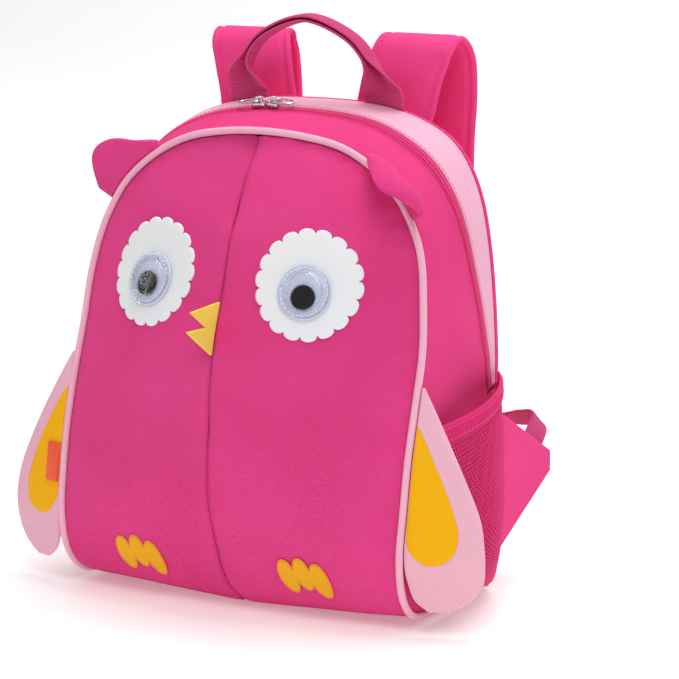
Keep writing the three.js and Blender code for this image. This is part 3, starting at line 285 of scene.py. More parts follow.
# %% Body surfaces
FACE_RIDGE = 0.6
KEEL_GAP = 0.3
KEEL_SINK, KEEL_SINK_WIDTH = 1.6, 2.5
BAND_BULGE = 3
BAG_MIDDLE = np.array([0, -56, 120])


def face_surface(s, u):
    """Point = mix of keel and cord edge + the way the face looks x (puff - (1 - u)) x the keel's stand-off.

    The puff is (1 - ridge u)(1 - u to a power that grows from 5 to 10 lower down), and the keel seam is sunk.
    """
    turn = np.radians(at_station(s, TURN))
    outward = np.concatenate([0 * turn, -np.cos(turn), -np.sin(turn)], -1)
    keel = keel_seam(s)
    inward = unit(np.cross(seam_direction(piping_seam, s), outward))
    edge = piping_seam(s) + inward * (CORD_RADIUS + SEAM_GAP)
    u = np.asarray(u, float)[..., None]
    low = np.clip((at_station(s, np.arange(LAST + 1.0)) - 7) / 3, 0, 1)
    puff = (1 - FACE_RIDGE * u) * (1 - u ** (5 + 5 * low * low * (3 - 2 * low)))
    point = keel * (1 - u) + edge * u + outward * dot(keel - edge, outward) * (puff - (1 - u))
    point = point - outward * KEEL_SINK * np.exp(-((point[..., :1] / KEEL_SINK_WIDTH) ** 2))
    point[..., 2] = np.maximum(point[..., 2], 0)
    return point


def band_surface(s, v):
    """Point = mix of cord and rear seam + bulge x 4v(1 - v) along the way out from the rear seam."""
    along = seam_direction(rear_seam, s)
    outward = unit(np.stack([-along[..., 2], 0 * along[..., 0], along[..., 0]], -1))
    v = np.asarray(v, float)[..., None]
    return piping_seam(s) * (1 - v) + rear_seam(s) * v + outward * BAND_BULGE * 4 * v * (1 - v)


def band_length(s):
    """How wide the band is at s, in mm."""
    return np.linalg.norm(piping_seam(s) - rear_seam(s), axis=-1)


def band_start(s):
    """The share of the band's width that the cord takes up."""
    across = unit(rear_seam(s) - piping_seam(s))
    return cord_clearance(across, seam_direction(piping_seam, s))[..., 0] / band_length(s)


def zip_share(s):
    """The share of the band's width at which the zip runs."""
    return np.interp(np.abs(s), np.arange(LAST + 1), ZIP_SHARE)


def solve_falling(value, target, low, high):
    """The parameter at which a falling value meets its target, by halving."""
    low, high = np.full(np.shape(target), float(low)), np.full(np.shape(target), float(high))
    for _ in range(34):
        middle = (low + high) / 2
        above = value(middle) > target
        low, high = np.where(above, middle, low), np.where(above, high, middle)
    return (low + high) / 2


def face_at(x, z):
    """The face's point in mm at a place across and up, for arrays of places."""
    across = np.abs(np.asarray(x, float))

    def above(t):
        return face_surface(t, across / piping_seam(t)[..., 0])

    s = solve_falling(lambda t: above(t)[..., 2], np.asarray(z, float), 2, 14.5)
    return above(s) * np.stack([np.sign(x), 1 + 0 * across, 1 + 0 * across], -1)


def face_frame(x, z):
    """Point, right, up and outward normal of the face at places across and up."""
    right = face_at(x + 0.5, z) - face_at(x - 0.5, z)
    up = unit(face_at(x, z + 0.5) - face_at(x, z - 0.5))
    normal = unit(np.cross(right, up))
    return face_at(x, z), np.cross(up, normal), up, normal


# %% [markdown]
# ## From a grid to cloth
# Cloth is a sheet with a wall. One helper turns a grid of points into a closed shell: it finds the normals
# from the grid's own differences, puts one layer over the points and one under, and joins their edges. It
# also writes a UV map in metres, measured along the cloth, so that a weave keeps its size however the panel
# bends.


# %% Mesh helpers
def put(name, points, faces, material, uv=None, body=BAG, replaces=(), slot=None, padded=None):
    """Makes the object from points in mm and puts it on its body."""
    mesh = bpy.data.meshes.new(name)
    placed = (np.asarray(points, float) + [0, REAR_PLANE, 0]) * MM
    mesh.from_pydata(placed.tolist(), [], [tuple(int(i) for i in face) for face in faces])
    if uv is not None:
        layer = mesh.uv_layers.new(name="cloth")
        corners = np.zeros(len(mesh.loops), int)
        mesh.loops.foreach_get("vertex_index", corners)
        layer.data.foreach_set("uv", np.asarray(uv, float)[corners].ravel() * MM)
    return finish_piece(name, mesh, material, body, replaces)


def finish_piece(name, mesh, material, body=BAG, replaces=()):
    """Welds the mesh, turns its faces outwards and hands the piece to its body."""
    cleaned = bmesh.new()
    cleaned.from_mesh(mesh)
    bmesh.ops.remove_doubles(cleaned, verts=cleaned.verts, dist=2e-6)
    bmesh.ops.dissolve_degenerate(cleaned, edges=cleaned.edges, dist=1e-7)
    if cleaned.calc_volume(signed=True) < 0:
        bmesh.ops.reverse_faces(cleaned, faces=cleaned.faces)
    cleaned.to_mesh(mesh)
    cleaned.free()
    mesh.shade_smooth()
    mesh.materials.append(material)
    piece = bpy.data.objects.new(name, mesh)
    bpy.context.scene.collection.objects.link(piece)
    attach(piece, body)
    if replaces:
        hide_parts(*replaces)
    return piece


def grid_normals(grid, wrap=False):
    """Unit normals from the grid's differences down its rows and along its columns."""
    down = np.gradient(grid, axis=0)
    along = (np.roll(grid, -1, 1) - np.roll(grid, 1, 1)) if wrap else np.gradient(grid, axis=1)
    return unit(np.cross(down, along))


def grid_faces(rows, columns, wrap=False, offset=0):
    """Quads of a grid; wrap joins its last column to its first."""
    index = np.arange(rows * columns).reshape(rows, columns) + offset
    if wrap:
        index = np.column_stack([index, index[:, 0]])
    return np.stack([index[:-1, :-1], index[:-1, 1:], index[1:, 1:], index[1:, :-1]], -1).reshape(-1, 4)


def cloth_lengths(grid):
    """A place on the cloth in mm: along the columns from the middle one, and down the rows."""
    across = np.linalg.norm(np.diff(grid, axis=1), axis=-1)
    across = np.concatenate([np.zeros((len(grid), 1)), np.cumsum(across, 1)], 1)
    down = np.linalg.norm(np.diff(grid, axis=0), axis=-1).mean(1)
    down = np.concatenate([[0], np.cumsum(down)])[:, None]
    return np.stack([across - across[:, across.shape[1] // 2][:, None], down + 0 * across], -1)


def sheet_shell(grid, above, below, normals=None, wrap=False):
    """Points, quads and UV of a closed sheet: grid + normal x above, grid - normal x below, and its edge."""
    rows, columns = grid.shape[:2]
    normals = grid_normals(grid, wrap) if normals is None else normals
    above, below = (np.broadcast_to(np.asarray(t, float), grid.shape[:2])[..., None] for t in (above, below))
    points = np.concatenate([(grid + normals * above).reshape(-1, 3),
                             (grid - normals * below).reshape(-1, 3)])
    count = rows * columns
    over = grid_faces(rows, columns, wrap)
    under = grid_faces(rows, columns, wrap, count)[:, ::-1]
    index = np.arange(count).reshape(rows, columns)
    border = [index[0, ::-1], index[-1]]
    if not wrap:
        border = [index[0, ::-1], index[:, 0], index[-1], index[::-1, -1]]
    walls = []
    for edge in border:
        edge = np.append(edge, edge[0]) if wrap else edge
        walls.append(np.stack([edge[:-1], edge[:-1] + count, edge[1:] + count, edge[1:]], -1)[:, ::-1])
    uv = np.tile(cloth_lengths(grid).reshape(-1, 2), (2, 1))
    return points, np.concatenate([over, under, *walls]), uv


def soft_waves(points, size, seed, stretch=(1, 1, 1)):
    """Smooth unevenness from -1 to 1: the mean of sine waves in fixed scattered directions."""
    chance = np.random.default_rng(seed)
    total = 0
    for _ in range(9):
        way = unit(chance.normal(size=3)) * np.asarray(stretch)
        phase = points @ way * (2 * np.pi / size) * chance.uniform(0.6, 1.5) + chance.uniform(0, 6.28)
        total = total + np.sin(phase)
    return total / 4.5


def both_sides(build, name, *given, **options):
    """Makes a piece for the right side and its mirror image for the left."""
    for side, sign in SIDES:
        points, faces, uv = build(sign)
        named = {k: [n.format(side=side) for n in v] if k == "replaces" else v for k, v in options.items()}
        put(f"{name}_{side}", points * [sign, 1, 1], faces, *given, uv=uv * [sign, 1], **named)


# %% [markdown]
# ## Cloth finishes
# The face is a polyester twill: fine ribs that run diagonally and catch the light a little, over a yarn
# that glows at grazing angles. Every cloth here is the same recipe with other numbers: two sets of waves
# for the yarns, spaced in millimetres, whose hollows take a darker colour as painted shade between the
# yarns, a slow drift of colour from handling, and a soft sheen. At this size a real 0.5 mm yarn would
# vanish, so the ribs are drawn a little coarser than they are.


# %% Woven cloth
# A wave texture repeats every 2 pi / 10 units at a scale of 1.
WAVE_SPAN = 0.628


def woven(name, colour, shade, rib_mm, cross_mm, roughness, sheen, relief, direction="DIAGONAL"):
    """A woven cloth: rib and cross waves lift it and mix two colours, painting shade into its hollows."""
    material, tree = new_material(name)
    place = add(tree, "TexCoord").outputs["UV"]
    ribs = add(tree, "TexWave", {"Vector": place, "Scale": WAVE_SPAN / (rib_mm * MM), "Distortion": 0.35,
                                 "Detail": 1.0, "Detail Scale": 2.0},
               wave_type="BANDS", bands_direction=direction)
    crossing = add(tree, "TexWave", {"Vector": place, "Scale": WAVE_SPAN / (cross_mm * MM),
                                     "Distortion": 0.2},
                   wave_type="BANDS", bands_direction="X")
    both = add(tree, "Math", {0: ribs.outputs["Fac"], 1: crossing.outputs["Fac"]}, operation="MULTIPLY")
    yarn = add(tree, "Math", {0: ribs.outputs["Fac"], 1: both.outputs[0]}, operation="ADD")
    height = add(tree, "Math", {0: yarn.outputs[0], 1: 0.5}, operation="MULTIPLY")
    solid_place = add(tree, "TexCoord").outputs["Object"]
    drift = add(tree, "TexNoise", {"Vector": solid_place, "Scale": 16.0, "Detail": 4.0})
    blend = add(tree, "Math", {0: height.outputs[0], 1: drift.outputs["Fac"]}, operation="ADD")
    even = add(tree, "MapRange", {"Value": blend.outputs[0], "From Min": 0.25, "From Max": 1.25})
    # The hollows of the weave take the shade colour: painted shade between the yarns.
    mix = add(tree, "Mix", {"Factor": even.outputs["Result"], 6: linear(shade), 7: linear(colour)},
              data_type="RGBA")
    bump = add(tree, "Bump", {"Height": height.outputs[0], "Strength": relief,
                              "Distance": 0.25 * rib_mm * MM})
    surface(tree, {"Base Color": mix.outputs[2], "Roughness": roughness, "Normal": bump.outputs["Normal"],
                   "Sheen Weight": sheen, "Sheen Roughness": 0.4, "Sheen Tint": linear(colour),
                   "Specular IOR Level": 0.2})
    return material


# Twill: its ribs lean, so the light runs over the face in fine slanting lines.
face_twill = woven("polyester_twill_pink", "#ff51a0", "#e32b79", 1.3, 1.0, 0.75, 0.2, 1.0)
# Plain weaves: threads cross squarely, so they look even and a little flatter than the twill.
band_cloth = woven("polyester_plain_pink", "#f74890", "#d62f76", 1.2, 1.2, 0.8, 0.2, 0.6)
pale_cloth = woven("polyester_plain_pale_pink", "#f6bdd4", "#ecaac6", 1.2, 1.2, 0.8, 0.2, 0.35)
# Pale twill with a coarser rib, which still shows faintly on the wings.
wing_cloth = woven("polyester_twill_pale_pink", "#f8bfd0", "#eeb0c4", 1.5, 1.1, 0.8, 0.2, 0.4)
# Laminated to foam, so its weave is soft and its sheen broad.
back_cloth = woven("padded_plain_weave_pink", "#ff5099", "#de327c", 1.4, 1.4, 0.82, 0.25, 0.45)
# Webbing and binding: thick yarns across a narrow tape give clear bars, with painted shade in the gaps.
WEB_YARN = 1.8
webbing = woven("polyester_webbing_pink", "#ff66a6", "#cc2a70", WEB_YARN, WEB_YARN / 2, 0.65, 0.15, 1.0, "Y")
binding = woven("elastic_binding_pink", "#ee2f7c", "#cf1f68", 0.9, 1.4, 0.62, 0.2, 0.6, "Y")
# Net yarn, satin cord and coated cloth are too fine for a weave to show: they look almost smooth.
net_yarn = woven("knitted_mesh_pink", "#f2418a", "#d42c70", 0.9, 0.9, 0.7, 0.2, 0.2)
cord_satin = woven("satin_piping_pale_pink", "#fbbfd4", "#f2adc6", 0.8, 0.8, 0.45, 0.1, 0.15)
patch_cloth = woven("coated_white_cloth", "#f6f7f9", "#eceef2", 0.7, 0.7, 0.5, 0.0, 0.12)
print("cloth finishes:", len(bpy.data.materials) - 1)


# %% [markdown]
# ## Other finishes
# Felt has no weave: short fibres lie every way, so it is cloudy, dull and slightly fuzzy. The feet are
# satin cloth, smooth and a little shiny. The zip's sliders are zinc with a bright chrome plating. The eyes
# are the sewn-on sort: a pearly card, a loose gloss-black disc and a thin clear PVC blister over both.


# %% Plain finishes
def plain(name, colour, roughness, grain_mm=1.0, mottle=0.06, relief=0.1, **extra):
    """A material with fine noise in its colour and relief; extra sets more of the shader's own inputs."""
    material, tree = new_material(name)
    place = add(tree, "TexCoord").outputs["Object"]
    grain = add(tree, "TexNoise", {"Vector": place, "Scale": 1 / (grain_mm * MM), "Detail": 5.0,
                                   "Roughness": 0.65})
    tone = add(tree, "MapRange", {"Value": grain.outputs["Fac"], "From Min": 0.3, "From Max": 0.7,
                                  "To Min": 1 - mottle, "To Max": 1 + mottle})
    tinted = add(tree, "VectorMath", {0: linear(colour)[:3], "Scale": tone.outputs["Result"]},
                 operation="SCALE")
    bump = add(tree, "Bump", {"Height": grain.outputs["Fac"], "Strength": relief,
                              "Distance": 0.3 * grain_mm * MM})
    surface(tree, {"Base Color": tinted.outputs["Vector"], "Roughness": roughness,
                   "Normal": bump.outputs["Normal"], **extra})
    return material


# Felt and the flat prints scatter the light, so they look dull; satin stitches are a little brighter.
beak_felt = plain("yellow_wool_felt", "#f4db3e", 0.95, 0.7, 0.12, 0.7, **{"Sheen Weight": 0.3})
amber_print = plain("amber_print_on_cloth", "#fbb80e", 0.8, 0.8, 0.04, 0.25, **{"Specular IOR Level": 0.15})
amber_satin = plain("golden_satin_cloth", "#f5b71c", 0.7, 0.8, 0.05, 0.25, **{"Specular IOR Level": 0.2})
amber_edge = plain("orange_satin_stitch", "#f0962a", 0.5, 0.5, 0.05, 0.3)
# Ribbon, threads and the nylon coil are smooth yarns with a soft shine.
tag_ribbon = plain("orange_ribbon", "#f9572b", 0.5, 0.6, 0.05, 0.2)
thread_pink = plain("sewing_thread_pink", "#f05a9c", 0.6, 0.3, 0.05, 0.2)
thread_white = plain("sewing_thread_white", "#f4f6ff", 0.55, 0.3, 0.03, 0.2)
coil_nylon = plain("nylon_coil_pink", "#ee4a90", 0.4, 0.6, 0.05, 0.1)
# Chrome plate mirrors the studio; the eye's card, disc and blister are glossy; the acetal is satin.
chrome = plain("chrome_plated_zinc", "#d9dbdf", 0.12, 0.8, 0.03, 0.05, **{"Metallic": 1.0})
eye_card = plain("pearl_card", "#d3daf5", 0.35, 2.0, 0.02, 0.02,
                 **{"Coat Weight": 0.6, "Coat Roughness": 0.1})
pupil_gloss = plain("gloss_black_plastic", "#050507", 0.12, 1.0, 0.02, 0.02)
buckle_acetal = plain("moulded_acetal_pink", "#d8327c", 0.42, 0.5, 0.04, 0.2)
clear_pvc = plain("clear_pvc_blister", "#ffffff", 0.03, 3.0, 0.0, 0.0,
                  **{"Transmission Weight": 1.0, "IOR": 1.45, "Alpha": 0.3})
print("all finishes:", len(bpy.data.materials) - 1)

# %% [markdown]
# ## The face
# Two laminated twill halves meet in a sunk seam down the middle and wrap under the bag. Where the face
# meets its cord the cloth is eased in, which leaves small puckers across the seam. They are waves whose
# height grows towards the cord, added along the surface's own normal.


# %% Face halves
def face_half(sign):
    """The face's surface on a fine grid, with puckers along the cord and soft dents from handling."""
    s = np.concatenate([np.linspace(0.1, 1, 16)[:-1], np.linspace(1, LAST, 165)])[:, None]
    c = np.sin(np.linspace(0, 1, 84) * np.pi / 2)[None, :] ** 0.9
    s, c = np.broadcast_arrays(s, c)
    start = np.minimum(KEEL_GAP / 2 / np.maximum(piping_seam(s)[..., 0], 1), 0.4)
    grid = face_surface(s, start + (1 - start) * c)
    normals = grid_normals(grid)
    near_cord = np.exp(-((1 - c) / 0.1) ** 2) * (1 - np.exp(-((1 - c) / 0.02) ** 2))
    pucker = np.sin(s * 9.5 + 2 * soft_waves(grid, 40, 3)) * near_cord * 0.55
    dents = soft_waves(grid * [1, 1, 0.6], 95, 11 + sign) * 0.9 * np.sin(np.pi * np.clip(c, 0, 1)) ** 0.8
    seam_pull = soft_waves(grid, 26, 5) * 0.35 * np.exp(-(grid[..., 0] / 14) ** 2)
    lift = (pucker + dents + seam_pull) * (grid[..., 2] > 1.5)
    grid = grid + normals * lift[..., None]
    grid[..., 2] = np.maximum(grid[..., 2], 0)
    points, faces, uv = sheet_shell(grid, 0, 0.9 + 1.3 * (c < 0.9))
    return points, faces, uv


both_sides(face_half, "face_cloth", face_twill, replaces=["front_panel_{side}"], slot="face_fabric",
           padded=0.3)

# %% [markdown]
# ## The cord in the seam
# Piping is a strip of satin wrapped round a cord and sewn into the seam, so it is a round tube that follows
# the seam. The tube's ring is carried along the curve on two directions that stay square to it.


# %% Piping
def tube(path, radius, around=12, sideways=(0, 1, 0)):
    """Rings of radius round a path of points: path + radius x (cos a x side + sin a x binormal)."""
    along = unit(np.gradient(path, axis=0))
    side = unit(np.asarray(sideways, float) - along * dot(along, np.asarray(sideways, float)))
    other = np.cross(along, side)
    angle = np.linspace(0, 2 * np.pi, around, endpoint=False)
    radius = np.broadcast_to(np.asarray(radius, float), (len(path),))[:, None, None]
    circle = side[:, None] * np.cos(angle)[:, None] + other[:, None] * np.sin(angle)[:, None]
    rings = path[:, None] + radius * circle
    points = np.concatenate([rings.reshape(-1, 3), path[:1], path[-1:]])
    faces = grid_faces(len(path), around, wrap=True).tolist()
    first, last, count = len(path) * around, len(path) * around + 1, (len(path) - 1) * around
    faces += [(first, (j + 1) % around, j) for j in range(around)]
    faces += [(last, count + j, count + (j + 1) % around) for j in range(around)]
    lengths = run_lengths(path)
    uv = np.stack([np.tile(angle * 2, len(path)), np.repeat(lengths, around)], -1)
    return points, faces, np.concatenate([uv, [[0, 0], [0, lengths[-1]]]])


piping_path = piping_seam(np.linspace(-LAST, LAST, 420))
piping_points, piping_faces, piping_uv = tube(piping_path, CORD_RADIUS)
put("piping_cord", piping_points, piping_faces, cord_satin, piping_uv, replaces=["piping"],
    slot="piping_satin")

# %% [markdown]
# ## Bands and stitches
# The band in front of the zip is the face's pink and the one behind it is pale. Both are single cloth, so
# they show shallow waves between the seams. Their edges are top-stitched: each stitch is one short bead of
# thread, and all the beads of a row are one mesh, placed as an array.


# %% Bands
def band_grid(s, low, high, columns):
    """A strip of the band between two shares of its width, with shallow waves that vanish at its seams."""
    share = np.linspace(0, 1, columns)[None, :]
    v = low(s)[:, None] * (1 - share) + high(s)[:, None] * share
    grid = band_surface(np.broadcast_to(s[:, None], v.shape), v)
    lift = soft_waves(grid, 60, 21) * 0.7 * np.sin(np.pi * share)
    return grid + grid_normals(grid) * lift[..., None]


def outward_shell(grid, above, below):
    """sheet_shell with its upper side away from the middle of the bag."""
    centre = grid[len(grid) // 2, grid.shape[1] // 2]
    normal = grid_normals(grid)[len(grid) // 2, grid.shape[1] // 2]
    if normal @ (centre - BAG_MIDDLE) < 0:
        grid = grid[:, ::-1]
    return sheet_shell(grid, above, below)


ZIP_TAPE = 8.0


def zip_edge(offset):
    """The share of the band's width at a distance in mm from the zip's middle."""
    return lambda s: zip_share(s) + offset / band_length(s)


front_rows = np.linspace(-(LAST - 0.3), LAST - 0.3, 360)
beyond_zip = np.abs(front_rows) > ZIP_END + 0.1
front_edge = np.where(beyond_zip, 1.0, zip_edge(-ZIP_TAPE / 2 - SEAM_GAP)(front_rows))
points, faces, uv = outward_shell(band_grid(front_rows, band_start, lambda s: front_edge, 26), 0, 1.6)
put("front_band", points, faces, band_cloth, uv, replaces=["front_gusset"], slot="band_fabric")
zip_rows = np.linspace(-ZIP_END, ZIP_END, 300)
points, faces, uv = outward_shell(
    band_grid(zip_rows, zip_edge(ZIP_TAPE / 2 + SEAM_GAP), lambda s: np.ones_like(s), 16), 0, 1.6)
put("rear_band", points, faces, pale_cloth, uv, replaces=["rear_gusset"], slot="pale_fabric")


# %% Stitches
BEAD_AROUND, BEAD_ALONG = 6, 5


def beads(places, alongs, normals, length, width, height):
    """Flattened beads: an ellipsoid of length x width x height at each place, along its own direction."""
    turn = np.linspace(0, 2 * np.pi, BEAD_AROUND, endpoint=False)
    tilt = np.linspace(0, np.pi, BEAD_ALONG)
    ring = np.stack(np.broadcast_arrays(np.cos(tilt)[:, None], np.sin(tilt)[:, None] * np.cos(turn),
                                        np.sin(tilt)[:, None] * np.sin(turn)), -1).reshape(-1, 3)
    alongs = unit(alongs)
    sides = unit(np.cross(normals, alongs))
    ups = np.cross(alongs, sides)
    points = (places[:, None] + ring[:, :1] * alongs[:, None] * length / 2
              + ring[:, 1:2] * sides[:, None] * width / 2 + ring[:, 2:] * ups[:, None] * height / 2)
    faces = grid_faces(BEAD_ALONG, BEAD_AROUND, wrap=True)
    faces = faces[None] + (np.arange(len(places)) * len(ring))[:, None, None]
    return points.reshape(-1, 3), faces.reshape(-1, 4)


def even_places(path, spacing):
    """Points and directions every spacing mm along a path of points."""
    length = run_lengths(path)
    at = np.arange(spacing / 2, length[-1], spacing)
    spots = np.stack([np.interp(at, length, path[:, k]) for k in range(3)], -1)
    ways = np.stack([np.interp(at, length, np.gradient(path[:, k])) for k in range(3)], -1)
    return spots, unit(ways), at / length[-1]


def stitch_row(name, path, normal_path, material, pitch=2.9, length=2.1, width=0.55, **options):
    """A row of stitches that lies on the cloth along path."""
    spots, ways, share = even_places(path, pitch)
    known = np.linspace(0, 1, len(normal_path))
    normals = np.stack([np.interp(share, known, normal_path[:, k]) for k in range(3)], -1)
    points, faces = beads(spots + unit(normals) * 0.1, ways, normals, length, width, 0.5)
    return put(name, points, faces, material, **options)


def band_line(name, s, offset, material=thread_pink):
    """A stitch row on the band at an offset in mm from the zip's middle."""
    v = zip_edge(offset)(s)
    path = band_surface(s, v)
    across = band_surface(s, v + 0.02) - band_surface(s, v - 0.02)
    normal = unit(np.cross(seam_direction(rear_seam, s), across))
    normal = normal * np.sign(dot(normal, path - BAG_MIDDLE))
    stitch_row(name, path + normal * 0.25, normal, material)


band_line("zip_stitch_front", zip_rows, -ZIP_TAPE / 2 - 1.8)
band_line("zip_stitch_rear", zip_rows, ZIP_TAPE / 2 + 1.8, pale_cloth)

# %% [markdown]
# ## The zip
# A coil zip is two narrow tapes with a nylon monofilament wound along each edge. Closed, the two coils mesh
# in a ridge of fine cross bars with a groove on each side. The tape is one strip, and the coil is a row of
# small flattened beads laid across it, one for each winding.

# %% Zip tape and coil
TAPE_COLUMNS, COIL_OFFSET = 13, 1.15
tape_offset = np.linspace(-1, 1, TAPE_COLUMNS)[None, :] * ZIP_TAPE / 2
zip_grid = band_surface(np.broadcast_to(zip_rows[:, None], (len(zip_rows), TAPE_COLUMNS)),
                        zip_share(zip_rows)[:, None] + tape_offset / band_length(zip_rows)[:, None])
points, faces, uv = outward_shell(zip_grid, 0.0, 0.9)
put("zip_tape", points, faces, binding, uv, replaces=["zip"], slot="zip_tape")
zip_middle = zip_grid[:, TAPE_COLUMNS // 2]
zip_normal = grid_normals(zip_grid)[:, TAPE_COLUMNS // 2]
zip_normal = zip_normal * np.sign(dot(zip_normal, zip_middle - BAG_MIDDLE))
for label, offset in (("front", -COIL_OFFSET), ("rear", COIL_OFFSET)):
    across = unit(np.cross(zip_normal, unit(np.gradient(zip_middle, axis=0))))
    spots, ways, share = even_places(zip_middle + across * offset + zip_normal * 0.3, 1.25)
    known = np.linspace(0, 1, len(zip_rows))
    normals = np.stack([np.interp(share, known, zip_normal[:, k]) for k in range(3)], -1)
    points, faces = beads(spots, np.cross(ways, normals), normals, 2.1, 0.95, 0.9)
    put(f"zip_coil_{label}", points, faces, coil_nylon, slot="zip_tape")


# %% [markdown]
# ## Sliders, pulls and buckles
# Cast and moulded fittings are hard, so the part's own solids have the right shape. A real casting never
# has a knife edge, and the light that its rounded edges catch is what makes it look like metal. Each
# fitting is a copy of its solid with its edges rounded by the Bevel modifier.


# %% Hard fittings
def rounded_copy(node, material, edge_mm, body=BAG, levels=2):
    """A copy of a CAD node with welded corners and rounded edges."""
    mesh = frame["nodes"][node].data.copy()
    mesh.materials.clear()
    piece = finish_piece(f"{node}_cast", mesh, material, body, [node])
    flat = bmesh.new()
    flat.from_mesh(mesh)
    bmesh.ops.dissolve_limit(flat, angle_limit=math.radians(2), verts=flat.verts, edges=flat.edges)
    flat.to_mesh(mesh)
    flat.free()
    bevel = piece.modifiers.new("rounded_edges", "BEVEL")
    bevel.width, bevel.segments, bevel.limit_method = edge_mm * MM, levels, "ANGLE"
    bevel.angle_limit = math.radians(35)
    bevel.harden_normals = True
    return piece


for side in ("left", "right"):
    rounded_copy(f"zip_slider_{side}", chrome, 0.35)
    rounded_copy(f"strap_buckle_{side}", buckle_acetal, 0.7, levels=3)


# %% Ring pulls
PULL_LENGTH, PULL_WIDTH, PULL_BAR = 14.5, 8.4, 1.5


def ring_pull(side):
    """An oval ring: centre + length x cos a x outwards + width x sin a x across, as a closed tube."""
    joint = next(j for j in frame["record"]["behaviour"]["joints"] if j["name"] == f"zip_pull_{side}_swing")
    hinge = np.array(joint["pos_m"]) / MM - [0, REAR_PLANE, 0]
    axis = unit(np.array(joint["axis"]))
    low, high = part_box(f"zip_pull_{side}")
    middle = np.array((low + high) / 2) / MM - [0, REAR_PLANE, 0]
    outward = middle - hinge
    outward = unit(outward - axis * (outward @ axis))
    centre = hinge + outward * (PULL_LENGTH / 2 - PULL_BAR / 2)
    angle = np.linspace(0, 2 * np.pi, 65)[:-1][:, None]
    path = (centre + outward * np.cos(angle) * (PULL_LENGTH - PULL_BAR) / 2
            + axis * np.sin(angle) * (PULL_WIDTH - PULL_BAR) / 2)
    along = unit(np.roll(path, -1, 0) - np.roll(path, 1, 0))
    face = np.cross(outward, axis)
    side_way = np.cross(along, face)
    turn = np.linspace(0, 2 * np.pi, 12, endpoint=False)[None, :, None]
    rings = path[:, None] + side_way[:, None] * np.cos(turn) * PULL_BAR / 2 + face * np.sin(turn) * 0.6
    index = np.arange(64 * 12).reshape(64, 12)
    index = np.vstack([index, index[:1]])
    index = np.column_stack([index, index[:, 0]])
    faces = np.stack([index[:-1, :-1], index[:-1, 1:], index[1:, 1:], index[1:, :-1]], -1).reshape(-1, 4)
    put(f"ring_pull_{side}", rings.reshape(-1, 3), faces, chrome, body=f"pull_{side}",
        replaces=[f"zip_pull_{side}"], slot="chrome")


ring_pull("left")
ring_pull("right")

# %% [markdown]
# ## Eyes
# A sewn-on rolling eye has four layers: a scalloped cloth patch stitched to the face, a pearly card, a
# loose black disc, and a clear blister with a flat flange that is sewn down with a ring of short stitches.
# The round parts are profiles turned about the eye's own axis.

# %% Eye patches
EYE_ACROSS, EYE_UP = 49.7, 178.5
PATCH_RADIUS, PATCH_LOBES, SCALLOP = 30, 18, 2.9
PATCH_LIFT, PATCH_WALL = 0.35, 1.0


def lobed(turn):
    """The patch's outline radius: a half circle for each lobe, with a sharp notch between two."""
    phase = (turn * PATCH_LOBES) % 1
    return PATCH_RADIUS - SCALLOP * (1 - np.sqrt(np.maximum(1 - (2 * phase - 1) ** 2, 0)))


def eye_patch(sign):
    """The lobed disc laid on the face, a little rounded at its rim."""
    point, right, up, _ = face_frame(np.array(EYE_ACROSS), np.array(EYE_UP))
    turn = np.linspace(0, 1, PATCH_LOBES * 12, endpoint=False)[None, :]
    share = np.array([0, 0.15, 0.3, 0.45, 0.6, 0.72, 0.82, 0.9, 0.96, 0.985, 1])[:, None]
    radius = lobed(turn) * share
    across, rise = radius * np.sin(2 * np.pi * turn), radius * np.cos(2 * np.pi * turn)
    place, _, _, normal = face_frame(point[0] + across * right[0] + rise * up[0],
                                     point[2] + across * right[2] + rise * up[2])
    rim = np.sqrt(np.maximum(1 - np.maximum(share - 0.96, 0) ** 2 / 0.002, 0.2))
    grid = place + normal * PATCH_LIFT
    points, faces, _ = sheet_shell(grid, PATCH_WALL * rim + 0 * radius, 0, normals=normal, wrap=True)
    uv = np.tile(np.stack([across, rise], -1).reshape(-1, 2), (2, 1))
    return points, faces, uv


both_sides(eye_patch, "eye_patch_cloth", patch_cloth, replaces=["eye_patch_{side}"], slot="patch_vinyl")

# %% Turned eye parts
EYE_INSET, EYE_DROP = 1.5, 4.0
BASE_RADIUS, BASE_WALL = 14.6, 0.9
BLISTER_RADIUS, BLISTER_HEIGHT, BLISTER_WALL, FLANGE_WALL = 10.6, 4.6, 0.6, 0.9
PUPIL_RADIUS, PUPIL_WALL, PUPIL_CLEARANCE = 6.7, 1.5, 0.35
CARD_FOOT = PATCH_LIFT + PATCH_WALL + 2 * SEAM_GAP
CARD_TOP = CARD_FOOT + BASE_WALL
eye_point, eye_right, eye_up, eye_normal = face_frame(np.array(EYE_ACROSS - EYE_INSET),
                                                      np.array(EYE_UP - EYE_DROP))


def turned(profile, lift, drop=0.0, around=72):
    """Each profile row (radius, height) becomes a ring about the eye's axis, lift mm off the face."""
    profile = np.asarray(profile, float)
    angle = np.linspace(0, 2 * np.pi, around, endpoint=False)[None, :, None]
    radius, height = profile[:, :1, None], profile[:, 1:, None]
    centre = eye_point - eye_up * drop + eye_normal * lift
    rings = centre + radius * (eye_right * np.cos(angle) + eye_up * np.sin(angle)) + eye_normal * height
    return rings.reshape(-1, 3), grid_faces(len(profile), around, wrap=True)


def turned_pair(name, profile, material, lift, drop=0.0, body=None, **options):
    """A turned piece on each eye."""
    points, faces = turned(profile, lift, drop)
    for side, sign in SIDES:
        put(f"{name}_{side}", points * [sign, 1, 1], faces, material,
            body=body.format(side=side) if body else BAG,
            replaces=[n.format(side=side) for n in options.get("nodes", ())], slot=options.get("slot"))


